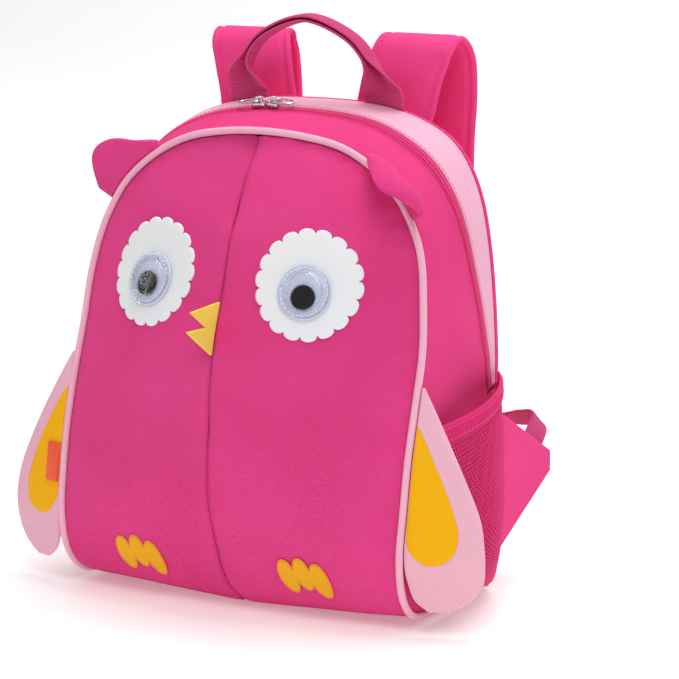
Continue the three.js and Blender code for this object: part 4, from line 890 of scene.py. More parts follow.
CARD_PROFILE = [(0, 0), (BASE_RADIUS, 0), (BASE_RADIUS, 0.55), (BASE_RADIUS - 0.15, 0.8),
                (BASE_RADIUS - 0.4, BASE_WALL), (0, BASE_WALL)]
turned_pair("eye_card", CARD_PROFILE, eye_card, CARD_FOOT, nodes=["eye_base_{side}"], slot="eye_white")
DISC_PROFILE = [(0, 0), (PUPIL_RADIUS - 0.3, 0), (PUPIL_RADIUS, 0.3), (PUPIL_RADIUS, PUPIL_WALL - 0.4),
                (PUPIL_RADIUS - 0.15, PUPIL_WALL - 0.12), (PUPIL_RADIUS - 0.5, PUPIL_WALL), (0, PUPIL_WALL)]
pupil_drop = BLISTER_RADIUS - BLISTER_WALL - PUPIL_RADIUS - PUPIL_CLEARANCE
turned_pair("eye_disc", DISC_PROFILE, pupil_gloss, CARD_TOP + SEAM_GAP, pupil_drop, body="pupil_{side}",
            nodes=["eye_pupil_{side}"], slot="pupil_black")
arc = np.linspace(0, np.pi / 2, 14)[:, None]
shoulder = BLISTER_HEIGHT * 0.6
outer = np.hstack([BLISTER_RADIUS * np.sin(arc), shoulder + (BLISTER_HEIGHT - shoulder) * np.cos(arc)])
inner = np.hstack([(BLISTER_RADIUS - BLISTER_WALL) * np.sin(arc),
                   shoulder + (BLISTER_HEIGHT - BLISTER_WALL - shoulder) * np.cos(arc)])[::-1]
rim = [(BLISTER_RADIUS + 0.15, FLANGE_WALL + 0.35), (BLISTER_RADIUS + 0.55, FLANGE_WALL),
       (BASE_RADIUS - 0.6, FLANGE_WALL), (BASE_RADIUS - 0.42, FLANGE_WALL - 0.2), (BASE_RADIUS - 0.42, 0),
       (BLISTER_RADIUS - BLISTER_WALL, 0)]
turned_pair("eye_blister", np.vstack([outer, rim, inner]), clear_pvc, CARD_TOP + SEAM_GAP / 2,
            nodes=["eye_dome_{side}"], slot="eye_clear")

# %% Eye stitches
STITCH_RING, STITCH_COUNT = 12.7, 30
ring_angle = np.linspace(0, 2 * np.pi, STITCH_COUNT, endpoint=False)[:, None]
ring_places = (eye_point + eye_normal * (CARD_TOP + SEAM_GAP / 2 + FLANGE_WALL + 0.05)
               + STITCH_RING * (eye_right * np.cos(ring_angle) + eye_up * np.sin(ring_angle)))
ring_ways = eye_up * np.cos(ring_angle) - eye_right * np.sin(ring_angle)
points, faces = beads(ring_places, ring_ways, np.broadcast_to(eye_normal, ring_places.shape), 2.0, 0.6, 0.5)
for side, sign in SIDES:
    put(f"eye_stitches_{side}", points * [sign, 1, 1], faces, thread_white, slot="eye_white")

# %% [markdown]
# ## Beak and feet
# The beak is one piece of felt with two teeth, caught in the keel seam so that it stands off the face. The
# feet are three leaning toes of satin cloth with a stitched edge. Their outline is the join of three
# leaning ellipses, so the cloth's lower and upper edge at each place across are the lowest and highest of
# the ellipses there.

# %% Beak
rounded_copy("beak", beak_felt, 0.45)

# %% Feet
FOOT_ACROSS, FOOT_UP, FOOT_WIDTH, FOOT_RISE, TOE_LEAN = 52.5, 26, 31, 21, -0.2
FOOT_LIFT, FOOT_WALL, FOOT_EDGE_LIFT, FOOT_EDGE_RADIUS = 0.35, 0.75, 0.55, 0.5
# across, up, half width, half height as shares of the foot's width and rise
TOES = [(-0.31, -0.02, 0.165, 0.44), (-0.01, 0.08, 0.16, 0.42), (0.31, -0.06, 0.17, 0.46)]


def toe_span(x):
    """The lowest and highest point of the joined toes at each place across."""
    low, high = np.full(x.shape, np.inf), np.full(x.shape, -np.inf)
    for across, up, half_width, half_height in TOES:
        a, b = half_width * FOOT_WIDTH, half_height * FOOT_RISE
        dx = x - across * FOOT_WIDTH
        square = TOE_LEAN ** 2 / a ** 2 + 1 / b ** 2
        slope, rest = dx * TOE_LEAN / a ** 2, dx ** 2 / a ** 2 - 1
        inside = slope ** 2 - square * rest
        root = np.sqrt(np.maximum(inside, 0))
        low = np.where(inside >= 0, np.minimum(low, up * FOOT_RISE + (slope - root) / square), low)
        high = np.where(inside >= 0, np.maximum(high, up * FOOT_RISE + (slope + root) / square), high)
    return low, high


def foot(sign):
    """The foot's cloth on the face, and the loop of its outline."""
    reach = [np.hypot(t[2] * FOOT_WIDTH, TOE_LEAN * t[3] * FOOT_RISE) - 1e-3 for t in TOES]
    ends = TOES[0][0] * FOOT_WIDTH - reach[0], TOES[2][0] * FOOT_WIDTH + reach[2]
    x = ends[0] + (ends[1] - ends[0]) * (1 - np.cos(np.pi * np.linspace(0, 1, 90))) / 2
    low, high = toe_span(x)
    share = np.linspace(0, 1, 12)[None, :]
    z = FOOT_UP + low[:, None] * (1 - share) + high[:, None] * share
    place, _, _, normal = face_frame(sign * FOOT_ACROSS + np.broadcast_to(x[:, None], z.shape), z)
    grid = place + normal * FOOT_LIFT
    raised = grid + normal * FOOT_EDGE_LIFT
    return grid, normal, np.concatenate([raised[:, 0], raised[::-1, -1]])


for side, sign in SIDES:
    grid, normal, outline = foot(sign)
    points, faces, uv = sheet_shell(grid, FOOT_WALL, 0, normals=normal)
    put(f"foot_cloth_{side}", points, faces, amber_satin, uv, replaces=[f"foot_{side}"], slot="foot_print")
    edge = outline[np.linalg.norm(np.diff(outline, axis=0, append=outline[:1]), axis=1) > 0.05]
    points, faces, uv = tube(np.vstack([edge, edge[:1]]), FOOT_EDGE_RADIUS, 8, normal[45, 5])
    put(f"foot_edge_{side}", points, faces, amber_edge, uv, slot="foot_print")

# %% [markdown]
# ## Ears and wings
# Both are two layers of cloth sewn together, turned and caught in the corded seam. The ears are nearly
# flat, and one of them has folded forwards over the face. The wings hold a little stuffing: their thickness
# is a sine of the way down times a parabola across, so they are thin at the seams and full in the middle.

# %% Ears
EAR_REACH, EAR_WALL, EAR_TOP, EAR_BOTTOM = 24, 3.2, 2.75, 4.75
# out, fore, arch as shares of the ear's reach, down the seam
EAR_EDGES = {
    "left": [(0.12, 0.02, 0.02), (0.44, 0.02, 0.06), (0.9, -0.08, 0.02), (1.0, -0.1, -0.04), (0.4, 0, 0.02)],
    "right": [(0.12, 0.16, 0.05), (0.14, 0.74, 0.26), (0.16, 1.0, 0.34), (0.34, 0.84, 0.36),
              (0.42, 0.42, 0.16)],
}
for side, sign in SIDES:
    along = np.linspace(0, 1, 60)[:, None]
    out = np.linspace(0, 1, 34)[None, :]
    s = sign * (EAR_TOP + (EAR_BOTTOM - EAR_TOP) * along[:, 0])
    way = seam_direction(piping_seam, s)
    outward = unit(np.stack([-way[:, 2], 0 * s, way[:, 0]], -1))[:, None]
    reach = spline(EAR_EDGES[side], along[:, 0])[:, None] * EAR_REACH
    root = piping_seam(s)[:, None] + outward * (CORD_RADIUS + SEAM_GAP)
    grid = root + out[..., None] * (outward * reach[..., :1] + np.array([0, -1, 0]) * reach[..., 1:2])
    grid = grid + outward * reach[..., 2:] * (4 * out * (1 - out))[..., None]
    creases = soft_waves(grid, 17, 31) * 0.5 * np.sin(np.pi * out) * np.sin(np.pi * along)
    grid = grid + grid_normals(grid) * creases[..., None]
    seam_roll = np.minimum(1, np.minimum(np.minimum(along, 1 - along) * 14, (1 - out) * 8))
    half = EAR_WALL / 2 * (0.35 + 0.65 * np.sqrt(np.maximum(seam_roll, 0.02)))
    points, faces, uv = sheet_shell(grid, half, half)
    put(f"ear_cloth_{side}", points, faces, face_twill, uv, replaces=[f"ear_{side}"], slot="ear_fabric")

# %% Wings
WING_TOP, WING_DROP, WING_REACH, WING_EDGE, WING_PUFF = 128, 114.5, 42, 2.2, 3.4
WING_SWEEP = math.radians(21.5)
# down, inner, outer as shares of the drop and the reach
WING_ROWS = np.array([(0.0, 0.0, 0.03), (0.14, 0.0, 0.27), (0.34, 0.0, 0.59), (0.56, 0.0, 0.89),
                      (0.7, 0.0, 0.985), (0.8, 0.01, 1.0), (0.88, 0.05, 0.96), (0.95, 0.13, 0.8),
                      (1.0, 0.3, 0.55)])
WING_OUT = np.array([math.cos(WING_SWEEP), math.sin(WING_SWEEP), 0])
WING_FRONT = np.array([math.sin(WING_SWEEP), -math.cos(WING_SWEEP), 0])


def wing_root(z):
    """The corded seam's place at each height."""
    s = solve_falling(lambda t: piping_seam(t)[..., 2], z, 6, 12.6)
    root = piping_seam(s)
    root[..., 2] = z
    return root


def wing_half_wall(row, across):
    """Half the wing's thickness: its edge and its puff, pressed thin where the two layers are sewn."""
    puff = np.sin(np.pi * np.clip(row, 0, 1)) ** 0.6 * np.maximum(4 * across * (1 - across), 0) ** 0.7
    edge = np.minimum(1, np.minimum(across, 1 - across) * 14)
    return (WING_EDGE / 2 + WING_PUFF / 2 * puff) * (0.45 + 0.55 * np.sqrt(np.maximum(edge, 0.01)))


def wing_dimples(points, row, across):
    """Shallow dimples where the stuffing is thin, none at the seams."""
    return soft_waves(points, 34, 41) * 0.45 * np.sin(np.pi * across) * np.sin(np.pi * row)


def wing(sign):
    """Rows of the wing from its seam outwards."""
    row, across = np.broadcast_arrays(np.linspace(0, 1, 110)[:, None], np.linspace(0, 1, 54)[None, :])
    shares = spline(WING_ROWS, row[:, 0])
    z = WING_TOP - shares[:, 0] * WING_DROP
    low, high = (shares[:, k] * WING_REACH + CORD_RADIUS + SEAM_GAP for k in (1, 2))
    out = low[:, None] * (1 - across) + high[:, None] * across
    grid = wing_root(z)[:, None] + out[..., None] * WING_OUT
    half = wing_half_wall(row, across)
    front = half + wing_dimples(grid, row, across)
    points, faces, _ = sheet_shell(grid, front, half, normals=np.broadcast_to(WING_FRONT, grid.shape))
    uv = np.tile(np.stack([out, grid[..., 2]], -1).reshape(-1, 2), (2, 1))
    return points, faces, uv


both_sides(wing, "wing_cloth", wing_cloth, replaces=["wing_{side}"], slot="wing_fabric", padded=0.4)

# %% Printed drops on the wings
# height, inner edge, outer edge in mm, measured out from the corded seam
DROP_ROWS = np.array([(109, 0.3, 0.9), (103, 0.3, 5.0), (95, 0.3, 9.6), (81, 0.3, 17.2), (67, 0.3, 23.6),
                      (57, 0.3, 27.2), (50, 0.9, 27.4), (44, 4.2, 25.2), (40.5, 8.2, 21.0),
                      (38.9, 12.0, 16.6)])


def wing_drop(sign):
    """The print: a thin skin that lies on the wing's front."""
    rows = spline(DROP_ROWS, np.linspace(0, 1, 70))
    share = np.linspace(0, 1, 24)[None, :]
    out = rows[:, 1:2] * (1 - share) + rows[:, 2:3] * share
    z = np.broadcast_to(rows[:, :1], out.shape)
    row = solve_falling(lambda t: 1 - spline(WING_ROWS, t)[..., 0], 1 - (WING_TOP - z) / WING_DROP, 0, 1)
    shares = spline(WING_ROWS, row)
    low, high = shares[..., 1] * WING_REACH, shares[..., 2] * WING_REACH
    across = np.clip((out - low) / np.maximum(high - low, 1e-3), 0, 1)
    middle = wing_root(z) + (out + CORD_RADIUS + SEAM_GAP)[..., None] * WING_OUT
    front = wing_half_wall(row, across) + wing_dimples(middle, row, across)
    grid = middle + WING_FRONT * (front + 0.05)[..., None]
    return sheet_shell(grid, 0.12, 0, normals=np.broadcast_to(WING_FRONT, grid.shape))


both_sides(wing_drop, "wing_drop", amber_print, slot="wing_fabric")
rounded_copy("side_tag", tag_ribbon, 0.25)


# %% [markdown]
# ## The mesh pockets
# A pocket like this is warp-knitted net: yarns looped into a honeycomb of small holes, stretched between
# the corded seam, the back seam and the base. It could be a see-through material, but a net has a real
# thickness and its holes have to be open from every side. So the honeycomb is drawn flat in millimetres,
# and each of its short yarns becomes a four-sided bar on the bulged pocket surface. The real holes are
# about 1.5 mm across.

# %% Pocket surface
HEM_STATION, NET_END = 9.6, LAST - 0.45
HEM_STAND_OFF, POCKET_BULGE = 13, 19
POCKET_INSET = 3.4


def pocket_surface(s, v):
    """Point = the band's point + a stand-off sideways that swells below the hem and dies out at the seams."""
    fall = np.clip((s - HEM_STATION) / (LAST - 0.3 - HEM_STATION), 0, 1)
    belly = np.sin(np.pi * np.clip(fall * 1.1, 0, 1)) ** 0.8
    down = HEM_STAND_OFF + (POCKET_BULGE - HEM_STAND_OFF) * belly
    to_base = np.sqrt(np.maximum(1 - np.maximum(fall - 0.55, 0) ** 2 / 0.45 ** 2, 0))
    across = np.maximum(np.sin(np.pi * np.clip(v, 0, 1) ** 1.15), 0) ** 0.75
    place = band_surface(s, v)
    place[..., 0] += down * to_base * across + SEAM_GAP
    return place


def pocket_share(s, c):
    """A share of the pocket's width as a share of the band's."""
    start = band_start(s) + POCKET_INSET / band_length(s)
    return start + (1 - 1.5 / band_length(s) - start) * c


def pocket_at(s, c):
    """The pocket's point at station s and a share c of its own width."""
    return pocket_surface(s, pocket_share(s, c))


# %% Pocket nets
NET_PITCH, YARN_WIDTH, YARN_WALL, NET_TAPE_RADIUS = 2.5, 0.62, 0.7, 0.85
sample_s, sample_c = np.linspace(HEM_STATION + 0.42, NET_END, 300), np.linspace(0, 1, 200)
down_path = pocket_at(sample_s, np.full(300, 0.5))
down_length = run_lengths(down_path)
across_path = pocket_at(np.full(200, 12.3), sample_c)
across_length = run_lengths(across_path)


def net_place(flat):
    """The pocket's point and normal at flat places in mm (across, down)."""
    s = np.interp(flat[:, 1], down_length, sample_s)
    c = np.interp(flat[:, 0], across_length, sample_c)
    point = pocket_at(s, c)
    step_c, step_s = np.where(c > 0.98, -0.01, 0.01), np.where(s > NET_END - 0.1, -0.05, 0.05)
    along = (pocket_at(s, c + step_c) - point) * np.sign(step_c)[:, None]
    down = (pocket_at(s + step_s, c) - point) * np.sign(step_s)[:, None]
    return point, unit(np.cross(down, along))


def honeycomb():
    """The two ends of each yarn of a honeycomb, flat in mm: three yarns leave each cell's lower corner."""
    side = NET_PITCH / math.sqrt(3)
    column, row = np.meshgrid(np.arange(-1, int(across_length[-1] / NET_PITCH) + 2),
                              np.arange(-1, int(down_length[-1] / (1.5 * side)) + 2))
    corner = np.stack([(column + 0.5 * (row % 2)) * NET_PITCH, row * 1.5 * side], -1).reshape(-1, 2)
    reach = [(0, -side), (NET_PITCH / 2, side / 2), (-NET_PITCH / 2, side / 2)]
    first = np.concatenate([corner] * 3)
    second = np.concatenate([corner + np.array(way) for way in reach])
    limit = np.array([across_length[-1], down_length[-1]])
    first, second = np.clip(first, 0, limit), np.clip(second, 0, limit)
    long_enough = np.linalg.norm(first - second, axis=1) > 0.3
    return first[long_enough], second[long_enough]


def pocket_net(sign):
    """Each yarn: eight corners = end +- along-surface normal x half width +- surface normal x half wall."""
    first, second = honeycomb()
    (a, normal_a), (b, normal_b) = net_place(first), net_place(second)
    way = unit(b - a)
    a, b = a - way * 0.12, b + way * 0.12
    corners = []
    for end, normal in ((a, normal_a), (b, normal_b)):
        sideways = unit(np.cross(normal, way)) * YARN_WIDTH / 2
        for u, w in ((-1, 0), (1, 0), (1, 1), (-1, 1)):
            corners.append(end + sideways * u * (1 - 0.25 * w) + normal * YARN_WALL * w)
    points = np.stack(corners, 1)
    shape = np.array([(0, 1, 2, 3), (4, 7, 6, 5), (0, 4, 5, 1), (1, 5, 6, 2), (2, 6, 7, 3), (3, 7, 4, 0)])
    faces = (shape[None] + 8 * np.arange(len(points))[:, None, None]).reshape(-1, 4)
    flat = np.repeat(np.stack([first, second], 1), 4, axis=1)
    return points.reshape(-1, 3), faces, flat.reshape(-1, 2)


both_sides(pocket_net, "pocket_net", net_yarn, replaces=["mesh_pocket_{side}"], slot="mesh_net")
print("yarns in one net:", len(honeycomb()[0]))


def net_border(sign):
    """A folded tape along the net's front, base and back, where it is caught in the seams."""
    side_s = HEM_STATION + 0.3 + np.linspace(0, 1, 120) * (NET_END - HEM_STATION - 0.3)
    s = np.concatenate([side_s, np.full(60, NET_END), side_s[::-1]])
    c = np.concatenate([np.full(120, 0.004), np.linspace(0.02, 0.98, 60), np.full(120, 0.996)])
    path = pocket_at(s, c)
    path = path[np.append(np.linalg.norm(np.diff(path, axis=0), axis=1) > 0.05, True)]
    return tube(path, NET_TAPE_RADIUS, 8, (1, 0, 0.01))


both_sides(net_border, "pocket_net_border", binding, slot="mesh_net")

# %% [markdown]
# ## The pockets' elastic hems
# The mouth of the pocket is held in by a folded elastic tape. Stretched while it is sewn, it draws in again
# and leaves fine ribs and a slight waver. The fold is a half-round profile carried along the mouth.


# %% Pocket hems
HEM_WALL, HEM_RIBS = 2.0, 62


def hem_grid(v, down):
    """The tape's surface between the mouth (down = 0) and its lower edge (down = 1)."""
    top = pocket_surface(np.full_like(v, HEM_STATION), v)
    low = pocket_surface(np.full_like(v, HEM_STATION + 0.4), v)
    place = top + (low - top) * down[..., None]
    place[..., 2] += 0.85 * (1 - down)
    return place


def pocket_hem(sign):
    """Thickness = the hem's wall x the fourth root of a parabola across + small ribs from the elastic."""
    ends = pocket_share(np.full(2, HEM_STATION), np.array([0.0, 1.0]))
    v, down = np.broadcast_arrays(np.linspace(ends[0], ends[1], 260)[:, None],
                                  np.linspace(0, 1, 22)[None, :])
    grid = hem_grid(v, down)
    fold = np.maximum(4 * (down * 0.98 + 0.01) * (0.99 - down * 0.98), 0) ** 0.25
    ribs = 0.14 * np.sin(2 * np.pi * np.linspace(0, HEM_RIBS, 260))[:, None] * np.sin(np.pi * down)
    normal = grid_normals(grid)
    normal = normal * np.sign(normal[..., :1])
    return sheet_shell(grid, HEM_WALL * fold + ribs, 0, normals=normal)


both_sides(pocket_hem, "pocket_hem_tape", binding, replaces=["pocket_binding_{side}"], slot="hem_elastic")
hem_v = np.linspace(*pocket_share(np.full(2, HEM_STATION), np.array([0.02, 0.98])), 120)
for label, down in (("upper", 0.22), ("lower", 0.8)):
    path = hem_grid(hem_v, np.full(120, down))
    across = unit(np.cross(np.gradient(path, axis=0), hem_grid(hem_v, np.full(120, down + 0.05)) - path))
    across = across * np.sign(across[:, :1])
    for side, sign in SIDES:
        mirror = [sign, 1, 1]
        stitch_row(f"hem_stitch_{label}_{side}", (path + across * HEM_WALL) * mirror, across * mirror,
                   thread_pink, 2.6, 1.9, 0.5, slot="hem_elastic")

# %% [markdown]
# ## The carry handle
# The handle is one length of heavy webbing. Its ends lie flat in the back seam, and over the arch the
# webbing is folded in half lengthwise and stitched, so that it makes a rounded grip. Each half bends by
# an angle that grows from almost nothing at the ends to about a right angle, and this section is carried
# along the arch.


# %% Carry handle
def smooth_between(value, low, high):
    """0 below low, 1 above high, and 3t^2 - 2t^3 between them."""
    t = np.clip((value - low) / (high - low), 0, 1)
    return t * t * (3 - 2 * t)


HANDLE_SPACING, HANDLE_RISE, HANDLE_LEAN = 85, 46, 5
HANDLE_HALF_WIDTH, HANDLE_WALL, HANDLE_BEND = 12, 1.7, 2.6
HANDLE_FOLD, HANDLE_COLUMNS = math.radians(92.5), 65
handle_base = rear_seam(solve_falling(lambda t: -rear_seam(t)[..., 0], np.array(-HANDLE_SPACING / 2), 0, 4))
# across, lean, rise as shares of half the spacing, the lean and the rise
HANDLE_ROUTE = np.array([(-1, 0, 0), (-1, 0.3, 0.2), (-0.93, 0.6, 0.47), (-0.62, 0.9, 0.8), (0, 1, 1),
                         (0.62, 0.9, 0.8), (0.93, 0.6, 0.47), (1, 0.3, 0.2), (1, 0, 0)])
handle_points = (HANDLE_ROUTE * [HANDLE_SPACING / 2, -HANDLE_LEAN, HANDLE_RISE]
                 + [0, handle_base[1] + HANDLE_WALL / 2 + SEAM_GAP / 2, handle_base[2] + SEAM_GAP])


def handle_at(t, reach):
    """Place = arch + radial x (r sin a + rest cos f) + forwards x (r (1 - cos a) + rest sin f), fold f."""
    t, reach = np.broadcast_arrays(t, reach)
    along = unit(spline(handle_points, t + 0.002) - spline(handle_points, t - 0.002))
    radial = unit(np.stack([along[..., 2], 0 * t, -along[..., 0]], -1))
    near = np.minimum(t, 1 - t)
    fold = 0.02 + (HANDLE_FOLD - 0.02) * smooth_between(near, 0.05, 0.3)
    radius = HANDLE_BEND / fold
    arc = np.minimum(np.abs(reach), HANDLE_BEND) / radius
    rest = np.maximum(np.abs(reach) - HANDLE_BEND, 0)
    across = np.sign(reach) * (radius * np.sin(arc) + rest * np.cos(fold))
    forward = radius * (1 - np.cos(arc)) + rest * np.sin(fold)
    place = spline(handle_points, t) + radial * across[..., None]
    place[..., 1] -= forward
    seam_s = solve_falling(lambda q: -rear_seam(q)[..., 0], -np.abs(place[..., 0]), 0, 4)
    place[..., 2] += (rear_seam(seam_s)[..., 2] - handle_base[2]) * (1 - np.clip(near / 0.08, 0, 1))
    return place


handle_t = np.linspace(0.001, 0.999, 420)[:, None]
handle_reach = (np.linspace(-1, 1, HANDLE_COLUMNS) * HANDLE_HALF_WIDTH)[None, :]
handle_grid = handle_at(handle_t, handle_reach)
handle_length = run_lengths(handle_grid[:, HANDLE_COLUMNS // 2])
selvedge = np.sqrt(np.clip((HANDLE_HALF_WIDTH - np.abs(handle_reach)) / 1.2, 0, 1))
selvedge = 0.55 + 0.45 * selvedge + 0 * handle_t
yarns = np.cos(2 * np.pi * handle_reach / WEB_YARN) * np.cos(2 * np.pi * handle_length[:, None] / WEB_YARN)
handle_wall = HANDLE_WALL / 2 * selvedge + 0.16 * yarns - 0.1
points, faces, _ = sheet_shell(handle_grid, handle_wall, handle_wall)
handle_uv = np.stack(np.broadcast_arrays(handle_reach, handle_length[:, None]), -1).reshape(-1, 2)
put("handle_webbing", points, faces, webbing, np.tile(handle_uv, (2, 1)), replaces=["carry_handle"],
    slot="webbing")
print("handle webbing:", round(float(handle_length[-1])), "mm")

# %% [markdown]
# ## The shoulder straps
# A toddler's strap is two layers of cloth with 5 mm foam between them and a row of stitches near each edge
# that holds the foam flat. It starts on the back panel, arches over the top edge and hangs down to its
# buckle. The strap's section is carried along one smooth route: thick in the middle, dented at the
# stitches, thin at the rim.


# %% Straps
PAD_WALL, PAD_SWELL = 2.6, 4


def ribbon_grid(path, side, half, columns):
    """Path + side x half width x share, and the normal that is square to both."""
    along = unit(np.gradient(path, axis=0))
    side = unit(side - along * dot(side, along))
    share = np.linspace(-1, 1, columns)
    half = np.broadcast_to(np.asarray(half, float), (len(path),))
    grid = path[:, None] + side[:, None] * (half[:, None] * share)[..., None]
    return grid, np.broadcast_to(np.cross(side, along)[:, None], grid.shape), share[None, :]


def back_depth(s, u):
    """The pad's thickness: its wall + its swell x (1 - u^4) x the root of a sine down the panel."""
    down = np.sqrt(np.maximum(np.sin(np.pi * np.clip(s / LAST, 0, 1)), 0))
    return PAD_WALL + PAD_SWELL * (1 - np.abs(u) ** 4) * down


def on_back(x, z, lift):
    """A place on the back panel, lift mm off it."""
    s = solve_falling(lambda t: rear_seam(t)[..., 2], np.array(float(z)), 0, LAST)
    seam = rear_seam(s)
    return np.array([x, seam[1] + SEAM_GAP + float(back_depth(s, x / seam[0])) + lift, z])


STRAP_WIDTH, STRAP_END_WIDTH, STRAP_WALL, STRAP_END_WALL = 48, 26, 6, 3.4
# across, behind, up as shares of the half width, the depth and the height
STRAP_ROUTE = np.array([
    (0.415, 0.016, 0.995), (0.45, 0.03, 1.058), (0.492, 0.072, 1.109), (0.514, 0.14, 1.12),
    (0.524, 0.204, 1.084), (0.522, 0.226, 1.01), (0.512, 0.218, 0.9), (0.514, 0.22, 0.77),
    (0.54, 0.238, 0.64), (0.59, 0.256, 0.53), (0.65, 0.27, 0.452)])
STRAP_POINTS = np.vstack([[on_back(0.39 * BODY_HALF_WIDTH, up * BODY_HEIGHT, SEAM_GAP + STRAP_WALL / 2)
                           for up in (0.885, 0.94)],
                          STRAP_ROUTE * [BODY_HALF_WIDTH, BODY_DEPTH, BODY_HEIGHT]])
STITCH_SHARE, STRAP_CROWN, STRAP_STEPS = 0.84, 0.45, 220
STRAP_ACROSS = np.array([1.0, 0, 0])


def strap_rows(count):
    """The strap's path, its half width and its thickness at even shares of its route."""
    t = np.linspace(0, 1, count)
    taper = smooth_between(t, 0.86, 1)
    return (spline(STRAP_POINTS, t), (STRAP_WIDTH + (STRAP_END_WIDTH - STRAP_WIDTH) * taper) / 2,
            STRAP_WALL + (STRAP_END_WALL - STRAP_WALL) * taper)


def strap_pad(sign):
    """Half thickness = wall / 2 x (1 - crown x v^4), less a dent along the stitches and soft creases."""
    path, half, wall = strap_rows(STRAP_STEPS)
    grid, normal, v = ribbon_grid(path, STRAP_ACROSS, half, 45)
    dent = 0.45 * np.exp(-((np.abs(v) - STITCH_SHARE) / 0.05) ** 2)
    rim = np.sqrt(np.maximum(1 - np.maximum(np.abs(v) - 0.92, 0) ** 2 / 0.0075, 0))
    thick = wall[:, None] / 2 * (1 - STRAP_CROWN * v ** 4) * rim * (1 - dent)
    crease = soft_waves(grid, 38, 51) * 0.35 * (1 - v ** 2)
    return sheet_shell(grid, np.maximum(thick + crease, 0.25), np.maximum(thick - 0.1, 0.25),
                       normals=normal)


both_sides(strap_pad, "strap_pad", back_cloth, replaces=["shoulder_strap_{side}"], slot="strap_fabric",
           padded=0.5)
strap_path, strap_half, strap_wall = strap_rows(STRAP_STEPS)
strap_grid, strap_normal, _ = ribbon_grid(strap_path, STRAP_ACROSS, strap_half, 3)
strap_normal = strap_normal[:, 1]
for label, edge in (("outer", 1), ("inner", -1)):
    line = strap_path + (strap_grid[:, 2] - strap_path) * edge * STITCH_SHARE
    rise = (strap_wall / 2 * (1 - STRAP_CROWN * STITCH_SHARE ** 4) * 0.62)[:, None]
    for face, way in (("out", 1), ("in", -1)):
        for side, sign in SIDES:
            row = (line + strap_normal * rise * way) * [sign, 1, 1]
            stitch_row(f"strap_stitch_{label}_{face}_{side}", row, strap_normal * way * [sign, 1, 1],
                       thread_pink, 3.2, 2.3, 0.5, slot="strap_fabric")

# %% [markdown]
# ## Webbing, loops and tabs
# Below the pad, a short webbing loop holds the buckle. A second webbing starts inside a cloth tab in the
# back seam, runs up through the buckle and hangs down as the tail that a parent pulls. Both are flat
# ribbons on a smooth route, with the narrow rounded edge that the loom leaves.

# %% Webbing
WEB_WIDTH, WEB_WALL, WEB_TAIL = 20, 1.4, 42
BUCKLE_HEIGHT, BUCKLE_BAR, BUCKLE_WALL = 24, 3, 3
WEB_OFF = BUCKLE_WALL / 2 + WEB_WALL / 2 + SEAM_GAP
buckle_up = -unit(spline(STRAP_POINTS, np.array(1.0)) - spline(STRAP_POINTS, np.array(0.999)))
buckle_right = -unit(np.array([1.0, 0, 0]) - buckle_up * buckle_up[0])
buckle_normal = np.cross(buckle_right, buckle_up)
buckle_point = STRAP_POINTS[-1] - buckle_up * (SEAM_GAP + WEB_WIDTH * 0.35 + BUCKLE_HEIGHT / 2)


def from_buckle(along, off):
    """A place along the strap from the buckle's middle, and off its plate."""
    return buckle_point + buckle_up * along + buckle_normal * off


def flat_webbing(route, side, count):
    """A ribbon of webbing along a smooth route, thinner at its woven edges."""
    path = spline(route, np.linspace(0, 1, count))
    grid, normal, v = ribbon_grid(path, side, WEB_WIDTH / 2, 15)
    wall = WEB_WALL / 2 * (0.6 + 0.4 * np.sqrt(np.clip((1 - np.abs(v)) * 8, 0, 1))) + 0 * grid[..., 0]
    return sheet_shell(grid, wall, wall, normals=normal)


half_turn = np.pi * np.linspace(0, 1, 7)
far = BUCKLE_HEIGHT / 2 + WEB_WIDTH * 0.35
bar_middle = BUCKLE_HEIGHT / 2 - BUCKLE_BAR / 2
LOOP_ROUTE = [from_buckle(far, -WEB_OFF),
              *[from_buckle(bar_middle - WEB_OFF * math.sin(a) - 0.4, -WEB_OFF * math.cos(a))
                for a in half_turn], from_buckle(far, WEB_OFF)]
both_sides(lambda sign: flat_webbing(LOOP_ROUTE, buckle_right, 70), "strap_loop_webbing", webbing,
           replaces=["strap_loop_{side}"], slot="webbing")

# %% Tabs
TAB_TOP, TAB_BOTTOM, TAB_WALL, TAB_REACH, TAB_SPLAY, TAB_TIP = 100, 20, 2.2, 52, 5, 20
TAB_INSET = 1


def tab_at(down, out):
    """A mix of the seam (out = 0) and the tip (out = 1); down runs from the upper edge to the lower one."""
    down, out = np.broadcast_arrays(np.asarray(down, float), np.asarray(out, float))
    z = TAB_TOP + (TAB_BOTTOM - TAB_TOP) * down
    root = rear_seam(solve_falling(lambda t: rear_seam(t)[..., 2], z, 6, LAST - 0.1))
    root = root + [TAB_INSET + TAB_WALL, SEAM_GAP, 0]
    tip = np.stack([0 * z + BODY_HALF_WIDTH + TAB_INSET + TAB_WALL + TAB_SPLAY, 0 * z + TAB_REACH,
                    (TAB_TOP + TAB_BOTTOM) / 2 + (TAB_TIP + (-2 - TAB_TIP) * down) * 0.5], -1)
    return root * (1 - out[..., None]) + tip * out[..., None]


def tab_cloth(sign):
    """The tab's two layers: flat in the middle, pulled in at the stitches and rounded at the folded edges."""
    down, out = np.broadcast_arrays(np.linspace(0, 1, 60)[:, None], np.linspace(0, 1, 50)[None, :])
    grid = tab_at(down, out)
    rim = np.minimum(np.minimum(down, 1 - down) * (1.15 - out) * 70, (1 - out) * 40)
    half = TAB_WALL / 2 * (0.5 + 0.5 * np.sqrt(np.clip(rim, 0, 1)))
    wave = soft_waves(grid, 30, 61) * 0.3 * np.sin(np.pi * down) * np.sin(np.pi * out)
    return sheet_shell(grid, half + wave, half - wave, normals=np.broadcast_to([1.0, 0, 0], grid.shape))


